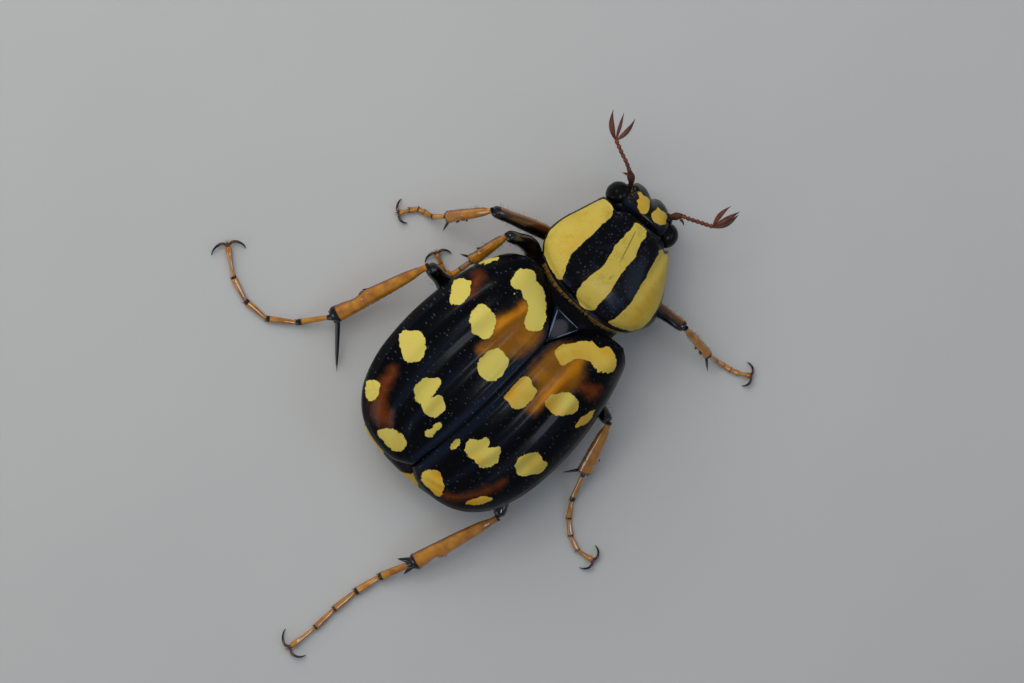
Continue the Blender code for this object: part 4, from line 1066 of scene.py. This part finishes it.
for side, shape in antennae.items():
    bm = bmesh.new()
    share = evenShares(24)
    thin, thick = antennaSizes["scape"]
    swell = thin + (thick - thin) * hump(share - 0.6, 0.3) * (1 - share**8) + 0.03
    addTube(bm, smoothPath(shape["scape"], share), swell, swell * 0.9, 20, lambda s, a: 0.95 - 0.35 * s)
    # bead-like joints of the stalk
    count = antennaSizes["beads"]
    share = evenShares(count * 8 + 1)
    phase = (share * count) % 1
    width = antennaSizes["bead"] * (0.62 + 0.55 * np.sin(np.pi * np.clip(phase, 0, 1)) ** 0.7)
    path = smoothPath(shape["stalk"], share)
    addTube(bm, path, width, width, 14, lambda s, a: 0.5 * (abs(math.sin(math.pi * s * 7)) < 0.3))
    for number in range(count):
        # one small tooth on the inner side of each joint
        place = path[min(len(path) - 1, int((number + 0.6) * 8))]
        tip = place + np.array((0.1, -0.14, 0.05)) * (1 if side == "left" else -1)
        addSpike(bm, place, tip, 0.05, 0.3, rings=4)
    root = np.array(shape["stalk"][-1])
    for number, tip in enumerate(shape["bladeTips"]):
        share = evenShares(22)
        spread = np.array(tip) - root
        wide = shape["bladeWidths"][number]
        bend = np.cross(spread, (0, 0, 1)) * antennaSizes["bladeBows"][number]
        path = root - spread * 0.04 + spread * 1.04 * share[:, None]
        path = path + bend * (4 * share * (1 - share))[:, None]
        leaf = np.sin(np.pi * share**0.9) ** 1.3 + 0.16 * (1 - share)
        addTube(bm, path, wide * leaf + 0.01, antennaSizes["bladeDepth"] * leaf + 0.01, 16,
                lambda s, a: 0.2 + 0.4 * s**3)
    hookRoot, hookTip = shape["hook"]
    addSpike(bm, hookRoot, hookTip, 0.09, 0.6, bend=(0, 0.05, 0))
    finishPiece(f"antennaWhole_{side}", bm, finishes["antenna"], (f"antenna_{side}",))


# Legs

legs = {
    "front_left": {
        "thigh": [(-2.3, 4.05, 1.6), (-4.9, 3.15, 2.75), (-7.42, 2.18, 4.0)],
        "shin": [(-7.42, 2.18, 4.0), (-8.4, 0.0, 1.3)],
        "foot": [(-8.4, 0.0, 1.3), (-8.8, -0.6, 0.4), (-9.25, -0.75, 0.2), (-9.67, -0.9, 0.2),
                 (-10.0, -1.3, 0.2), (-10.3, -1.82, 0.2)],
        "spurs": [(-7.75, -0.75, 0.5)], "teeth": [0.62, 0.82], "toothSide": -1,
    },
    "front_right": {
        "thigh": [(2.2, 4.75, 1.45), (4.3, 5.22, 2.15), (6.2, 5.61, 2.9)],
        "shin": [(6.2, 5.61, 2.9), (8.9, 5.55, 1.25)],
        "foot": [(8.9, 5.55, 1.25), (9.75, 5.68, 0.4), (10.3, 5.8, 0.2), (10.8, 5.92, 0.2),
                 (11.3, 6.1, 0.2), (11.95, 6.54, 0.2)],
        "spurs": [(9.85, 4.85, 0.4)], "teeth": [0.62, 0.82], "toothSide": 1, "wide": 0.8,
    },
    "middle_left": {
        "thigh": [(-1.9, 0.95, 1.3), (-3.8, 2.3, 2.7), (-5.85, 1.8, 4.5)],
        "shin": [(-5.85, 1.8, 4.5), (-5.5, -0.7, 1.6)],
        "foot": [(-5.5, -0.7, 1.6), (-5.32, -1.5, 0.5), (-5.35, -2.1, 0.2), (-5.8, -2.35, 0.2),
                 (-6.35, -2.2, 0.2), (-6.95, -1.9, 0.2)],
        "spurs": [(-6.2, -0.95, 1.15)], "teeth": [0.69], "toothSide": 1,
    },
    "middle_right": {
        "thigh": [(2.0, -0.35, 1.1), (4.9, -1.0, 1.6), (7.12, -1.54, 2.9)],
        "shin": [(7.12, -1.54, 2.9), (8.8, -4.66, 1.15)],
        "foot": [(8.8, -4.66, 1.15), (9.79, -6.37, 0.3), (10.51, -7.25, 0.2), (11.37, -7.89, 0.2),
                 (12.29, -8.21, 0.2), (13.42, -7.98, 0.2)],
        "spurs": [(8.05, -5.6, 0.5)], "teeth": [0.72], "toothSide": -1, "wide": 1.2,
    },
    "hind_left": {
        "thigh": [(-2.0, -2.85, 1.0), (-4.8, -2.8, 1.5), (-7.33, -2.75, 2.6)],
        "shin": [(-7.33, -2.75, 2.6), (-8.8, -8.95, 1.0)],
        "foot": [(-8.8, -8.95, 1.0), (-9.87, -10.68, 0.3), (-11.28, -11.79, 0.2), (-12.91, -11.93, 0.2),
                 (-14.46, -11.46, 0.2), (-16.09, -10.37, 0.2)],
        "spurs": [(-6.02, -11.03, 0.3), (-6.3, -10.8, 0.12)], "spurRadius": 0.14, "teeth": [0.62],
        "toothSide": 1,
    },
    "hind_right": {
        "thigh": [(2.1, -3.1, 1.0), (4.8, -7.05, 1.4), (6.8, -10.16, 2.2)],
        "shin": [(6.8, -10.16, 2.2), (5.45, -15.8, 1.05)],
        "foot": [(5.45, -15.8, 1.05), (4.89, -17.8, 0.3), (4.54, -19.44, 0.2), (4.4, -21.06, 0.2),
                 (4.4, -22.63, 0.2), (4.18, -24.53, 0.2)],
        "spurs": [(5.75, -16.65, 0.5), (4.75, -16.25, 0.6)], "teeth": [0.66], "toothSide": -1,
        "spurRadius": 0.2, "jointWidths": (1.35, 1.25, 1.1, 1.0, 0.95), "rings": (0.88, 0.9, 0.92, 0.92),
    },
}
legSizes = {
    "front": {"thigh": 0.42, "knee": 0.33, "shinRoot": 0.19, "shin": 0.36, "foot": 0.17, "claw": 0.72},
    "middle": {"thigh": 0.5, "knee": 0.33, "shinRoot": 0.2, "shin": 0.38, "foot": 0.18, "claw": 0.8},
    "hind": {"thigh": 0.62, "knee": 0.38, "shinRoot": 0.22, "shin": 0.5, "foot": 0.19, "claw": 1.0},
}
shinDepth = 0.72
# thickness along thigh, knee, foot joint and last foot joint: share, size
thighProfile = [(0, 0.55), (0.08, 0.85), (0.35, 1.1), (0.65, 1.0), (1, 0.8)]
kneeProfile = [(0, 1.2), (0.8, 1.16), (0.92, 1.14), (0.96, 1.02), (0.985, 0.78), (1, 0.25)]
jointProfile = [(0, 0.5), (0.05, 0.62), (0.3, 0.84), (0.75, 0.98), (0.9, 1.02), (0.96, 0.94), (1.0, 0.55)]
lastJointProfile = [(0, 0.5), (0.08, 0.58), (0.5, 0.7), (0.85, 0.95), (1.0, 0.5)]
# points of a claw: aside, ahead, rise
clawPoints = [(0, -0.05, 0.02), (0.3, 0.14, 0.1), (0.68, 0.04, 0.1), (0.94, -0.22, -0.02),
              (1.04, -0.46, -0.15)]


def thighShade(name):
    # the front thighs are brown in front and black behind, the others black with a brown root
    def shade(share, angle):
        knee = 1.0 if share > 0.82 else 0.0
        if name.startswith("front"):
            facing = math.cos(angle) * (1 if name == "front_left" else -1)
            return max(knee, 0.66 - 0.4 * facing)
        return max(knee, 0.6 + 0.15 * share if name.startswith("middle") else 0.62 + 0.3 * share)
    return shade


def addThigh(bm, name, shape, size):
    share = np.concatenate([np.linspace(0, 0.9, 34), 1 - 0.1 * np.linspace(0.92, 0, 12) ** 1.6])
    path = smoothPath(shape["thigh"], share)
    toKnee = np.clip((share - 0.62) / 0.22, 0, 1)
    toKnee = toKnee * toKnee * (3 - 2 * toKnee)
    thigh = size["thigh"] * smoothProfile(thighProfile, share)
    knee = size["knee"] * smoothProfile(kneeProfile, share)
    width = thigh + (knee - thigh) * toKnee
    addTube(bm, path, width, width * (shinDepth + (0.96 - shinDepth) * toKnee), 28, thighShade(name))


def addShin(bm, name, shape, size):
    knee, heel = (np.array(point) for point in shape["shin"])
    length = np.linalg.norm(heel - knee)
    along = (heel - knee) / length
    side = np.cross(along, (0, 0, 1))
    side = side / np.linalg.norm(side) * shape["toothSide"]
    sag = np.cross(along, side)
    root, full, tooth = size["shinRoot"], size["shin"] * shape.get("wide", 1.0), shape["teeth"][0]
    share = np.unique(np.concatenate([evenShares(70), tooth + np.linspace(-0.03, 0.05, 12)]))
    slim = root / full
    peak, dip = (1.12, 0.88) if name.startswith("hind") else (1.05, 0.97)
    outer = full * smoothProfile([
        (0, slim), (0.06, slim), (0.2, slim + 0.42 * (1 - slim)), (tooth - 0.2, 0.88),
        (tooth - 0.03, peak - 0.08), (tooth + 0.02, peak), (tooth + 0.055, dip),
        (0.9, 1.0), (0.975, 1.0), (1.0, 0.7)], share)
    inner = full * smoothProfile([
        (0, slim), (0.06, slim * 0.9), (0.2, slim + 0.38 * (1 - slim)), (0.45, 0.86),
        (0.75, 0.98), (0.92, 1.02), (0.975, 0.98), (1.0, 0.7)], share)
    middle = knee + (heel - knee) * share[:, None] + side * ((outer - inner) / 2)[:, None]
    middle = middle + sag * (0.05 * np.sin(np.pi * share) * length / 5)[:, None]
    width = (outer + inner) / 2
    black = {"hind_left": 0.93, "hind_right": 0.95}.get(name, 0.965)

    def shade(s, a):
        s = np.interp(s, evenShares(len(share)), share)
        # darker along the sides: brown edge lines of the shin, widened into a painted shade that rounds it
        edge = 0.5 * abs(math.cos(a)) ** 5 if s > 0.1 else 0.1
        notch = 0.7 * math.exp(-(((s - tooth - 0.03) / 0.025) ** 2))
        notch *= math.cos(a) * shape["toothSide"] > 0.85
        return max(edge, notch, 1.0 if s > black or s < 0.025 else 0.0, 0.3 if s > 0.93 else 0.0)

    addTube(bm, middle, width, np.maximum(0.1, width * shinDepth), 36, shade)
    for toothShare in shape["teeth"][1:]:
        start = knee + (heel - knee) * (toothShare - 0.04) + side * full * 0.8
        addSpike(bm, start, knee + (heel - knee) * (toothShare + 0.03) + side * full * 1.3, 0.12, 0.6)
    start = knee + (heel - knee) * (tooth - 0.02) + side * full
    addSpike(bm, start, start + (heel - knee) * 0.035 + side * 0.12, 0.06, 0.9)
    for number in range(30):
        # small thorns along the edges
        at = chance.uniform(0.15, 0.93)
        way = 1 if number % 3 else -1
        half = np.interp(at, share, outer if way > 0 else inner)
        start = knee + (heel - knee) * at + side * way * half * 0.92
        addSpike(bm, start, start + side * way * 0.05 + along * 0.06, 0.022, 0.7, sides=5, rings=3)
    for tip in shape["spurs"]:
        tip = np.array(tip)
        start = heel - along * 0.2 + (tip - heel - along * ((tip - heel) @ along)) * 0.12
        addSpike(bm, start, tip, shape.get("spurRadius", 0.11), 1.0, bend=(0, 0, 0.05), rings=10)
    for number in range(7):
        # crown of short thorns round the heel
        angle = number * 0.9
        way = side * math.cos(angle) + sag * math.sin(angle)
        start = heel - along * 0.1 + way * full * 0.7
        addSpike(bm, start, start + along * 0.16 + way * 0.03, 0.045, 1.0, sides=6, rings=4)


def addFoot(bm, name, shape, size):
    joints = np.array(shape["foot"])
    count = len(joints) - 1
    widths = shape.get("jointWidths", (1,) * count)
    ringStarts = shape.get("rings", (0.84, 0.88, 0.9, 0.92)) + (2,)
    for number in range(count):
        start, end = joints[number], joints[number + 1]
        last = number == count - 1
        radius = size["foot"] * widths[number]
        share = evenShares(22)
        direction = (end - start) / np.linalg.norm(end - start)
        path = start + (end - start) * share[:, None] + direction * (share * 0.05)[:, None]
        grow = smoothProfile(lastJointProfile if last else jointProfile, share)
        if last:
            path[:, 2] += 0.06 * np.sin(np.pi * share)
        if number == 0:
            grow = np.maximum(grow, 1.15 * (1 - share / 0.35))

        def shade(s, a, number=number, last=last):
            tipDark = 0.8 if last and s > 0.93 else 0.0
            ring = 0.95 if s > ringStarts[number] else 0.0
            base = 1.0 if s < (0.1 if number == 0 else 0.04) else 0.0
            return max(ring, base, tipDark, 0.4 * abs(math.cos(a)) ** 6)

        addTube(bm, path, radius * grow, radius * grow * 0.94, 18, shade, lowest=0.0)
        across = np.cross(direction, (0, 0, 1))
        across /= np.linalg.norm(across)
        if not last:
            for way in (-1, 1):
                # thorns at the end of each joint
                root = end - direction * 0.05 + across * radius * 0.7 * way - np.array((0, 0, 0.06))
                addSpike(bm, root, root + direction * 0.17 + across * 0.06 * way, 0.03, 0.9, sides=5, rings=4)
    tip = joints[-1]
    for way in (-1, 1):
        # claws that spread sideways and curl back, and the pair of bristles between them
        path = [tip + (across * way * aside + direction * ahead) * size["claw"] + (0, 0, rise)
                for aside, ahead, rise in clawPoints]
        share = evenShares(20)
        width = 0.085 * (1 - share**2) ** 0.7 + 0.007  # tapers to a point
        addTube(bm, smoothPath(path, share), width, width * 1.2, 12, lambda s, a: 0.5 + 0.3 * s, lowest=0.0)
        addSpike(bm, tip, tip + direction * 0.3 + across * way * 0.08, 0.03, 0.6, sides=5, rings=4)


for name, shape in legs.items():
    size = legSizes[name.split("_")[0]]
    for part, add in (("thigh", addThigh), ("shin", addShin), ("foot", addFoot)):
        bm = bmesh.new()
        add(bm, name, shape, size)
        finishPiece(f"{part}Whole_{name}", bm, finishes["leg"], (f"{part}_{name}",))


# Hairs and bristles

coat = {"fringe": 620, "fringeLength": 0.4, "legHairs": 46, "belly": 260}


def coatUv(place, low=(-17, -25), high=(14, 13)):
    # the place of a root on OFBake, between the corners low and high of the plan
    return [0.02 + 0.96 * (place[k] - low[k]) / (high[k] - low[k]) for k in (0, 1)]


# golden fringe under the rear edge of the pronotum
bm = bmesh.new()
for number in range(coat["fringe"]):
    x = chance.uniform(-3.3, 3.3)
    rear, _ = pronotumEdges(x)
    crest = 3.75 + 1.25 * dome(x / 3.9, 2.3)
    root = forePoint(x, rear + 0.12, crest - 0.22)
    way = np.array((chance.normal(0.05, 0.16), -1.0, -0.28 + chance.normal(0, 0.1)))
    addHair(bm, root, way, coat["fringeLength"] * chance.uniform(0.5, 1.15), 0.013, 0.3,
            coatUv(root, (-4.5, 1.0), (4.5, 4.0)))
finishPiece("pronotumFringe", bm, finishes["gold"])

# bristles on thighs and shins
bm = bmesh.new()
for name, shape in legs.items():
    size = legSizes[name.split("_")[0]]
    for part in ("thigh", "shin"):
        path = smoothPath(shape[part], np.linspace(0.25, 0.95, coat["legHairs"]))
        direction = path[-1] - path[0]
        direction = direction / np.linalg.norm(direction)
        across = np.cross(direction, (0, 0, 1))
        across /= np.linalg.norm(across)
        for place in path:
            way = chance.choice((-1, 1))
            half = size["thigh"] * 0.95 if part == "thigh" else size["shin"] * 0.62
            root = place + across * way * half * 0.9 + chance.normal(0, 0.05, 3)
            aim = across * way + direction * chance.uniform(0.3, 0.9) + (0, 0, chance.normal(0, 0.25))
            reach = {"front": 0.34, "middle": 0.4, "hind": 0.2}[name.split("_")[0]]
            addHair(bm, root, aim, reach * chance.uniform(0.4, 1.0), 0.009, 0.15, coatUv(root))
finishPiece("legBristles", bm, finishes["bristle"])

# pale hairs on the front of the head, the tufts of the scapes and the hairy underside
bm = bmesh.new()
for number in range(36):
    x, y = chance.uniform(-1.66, -1.25), chance.uniform(0.1, 0.9)
    root = headPoint(x, y, 3.4 - 0.9 * max(0.0, y - 0.4))
    addHair(bm, root, chance.normal(0, 0.5, 3) + (0, 0.4, 0.8), chance.uniform(0.1, 0.2), 0.005, 0.3,
            coatUv(root))
for side, shape in antennae.items():
    hookRoot, hookTip = (np.array(point) for point in shape["hook"])
    for number in range(8):
        root = hookRoot + chance.normal(0, 0.04, 3)
        aim = hookTip - hookRoot + chance.normal(0, 0.07, 3)
        addHair(bm, root, aim, chance.uniform(0.3, 0.5), 0.013, 0.3, coatUv(root))
for number in range(coat["belly"]):
    y = chance.uniform(-3.0, 1.0)
    x = chance.uniform(-4.4, 4.4)
    root = hindPoint(x, y, 2.95 - 1.15 * dome(x / 5.2, 2.2))
    addHair(bm, root, (chance.normal(0, 0.3) + 0.12 * x, -0.6, -0.5), chance.uniform(0.3, 0.6), 0.012, 0.2,
            coatUv(root))
finishPiece("bodyHairs", bm, finishes["gold"])
print("coat made")


# Floor, light and camera

floorFinish, net, shader, place = newFinish("paleFloor", 0.7, 0.0, 0.3, 0.3)
net.feed(shader["Base Color"], net.blend(net.noise(place, 60.0, 3.0), rgb(196, 193, 188), rgb(204, 201, 195)))
bm = bmesh.new()
bmesh.ops.create_grid(bm, x_segments=2, y_segments=2, size=600.0)
mesh = bpy.data.meshes.new("floor")
bm.to_mesh(mesh)
bm.free()
mesh.transform(Matrix.Scale(millimetre, 4))
mesh.materials.append(floorFinish)
floor = bpy.data.objects.new("floor", mesh)
linked(floor)

view = {"lean": 15.3, "roll": 46.0, "distance": 281.0, "lens": 168.0, "target": (549.0, 322.8),
        "pixelsPerMillimetre": 17.0, "height": 3.4}
lean, roll = math.radians(view["lean"]), math.radians(view["roll"])
back = Vector((-math.sin(lean), 0, math.cos(lean)))
ahead = Vector((0, 1, 0))
across = ahead.cross(back)
imageRight = across * math.cos(roll) + ahead * math.sin(roll)
imageUp = ahead * math.cos(roll) - across * math.sin(roll)
scale = view["pixelsPerMillimetre"]
pictureMiddle = (512, 341.5)
fromMiddle = [pictureMiddle[k] - view["target"][k] for k in (0, 1)]
eyePoint = (Vector((0, 0, view["height"])) + back * view["distance"]
            + imageRight * (fromMiddle[0] / scale) - imageUp * (fromMiddle[1] / scale))
eyePoint -= Vector((*boxMiddle, 0))
camera = bpy.data.objects.new("camera", bpy.data.cameras.new("camera"))
camera.data.lens = view["lens"]
camera.data.sensor_width = 36
camera.data.clip_start = 0.01
turn = Matrix((imageRight, imageUp, back)).transposed()
camera.matrix_world = Matrix.Translation(eyePoint * millimetre) @ turn.to_4x4()
linked(camera)
bpy.context.scene.camera = camera

# each lamp: direction it comes from in the camera's right, up and back, size, watts, colour
lampDistance = 260.0
lights = {
    "sky": ((-0.3, 0.6, 1.0), 330.0, 0.62, (0.95, 0.97, 1.0)),
    "glint": ((-0.35, 0.75, 1.3), 34.0, 0.034, (0.94, 0.97, 1.0)),
    "streak": ((0.354, -0.366, 0.861), 60.0, 0.066, (0.92, 0.96, 1.0)),
    "sheen": ((0.95, -0.15, 0.6), 130.0, 0.06, (0.5, 0.68, 1.0)),
    "fill": ((-0.9, -0.6, 0.5), 120.0, 0.06, (0.86, 0.92, 1.0)),
}
middle = Vector((0, 0, 3))
for name, (way, size, power, colour) in lights.items():
    lamp = bpy.data.lights.new(name, "AREA")
    lamp.shape = "DISK"
    lamp.size = size * millimetre
    lamp.energy = power
    lamp.color = colour
    holder = bpy.data.objects.new(name, lamp)
    direction = (imageRight * way[0] + imageUp * way[1] + back * way[2]).normalized()
    holder.location = (middle + direction * lampDistance) * millimetre
    holder.rotation_euler = direction.to_track_quat("Z", "Y").to_euler()
    holder.visible_glossy = name != "sky"  # the broad light would veil the black
    holder.visible_diffuse = name != "streak"  # seen only as the light lines on ribs and feet
    linked(holder)

world = bpy.data.worlds.new("studio")
world.use_nodes = True
world.node_tree.nodes["Background"].inputs["Color"].default_value = (0.62, 0.66, 0.72, 1)
world.node_tree.nodes["Background"].inputs["Strength"].default_value = 0.26
bpy.context.scene.world = world
bpy.context.scene.view_settings.view_transform = "Standard"
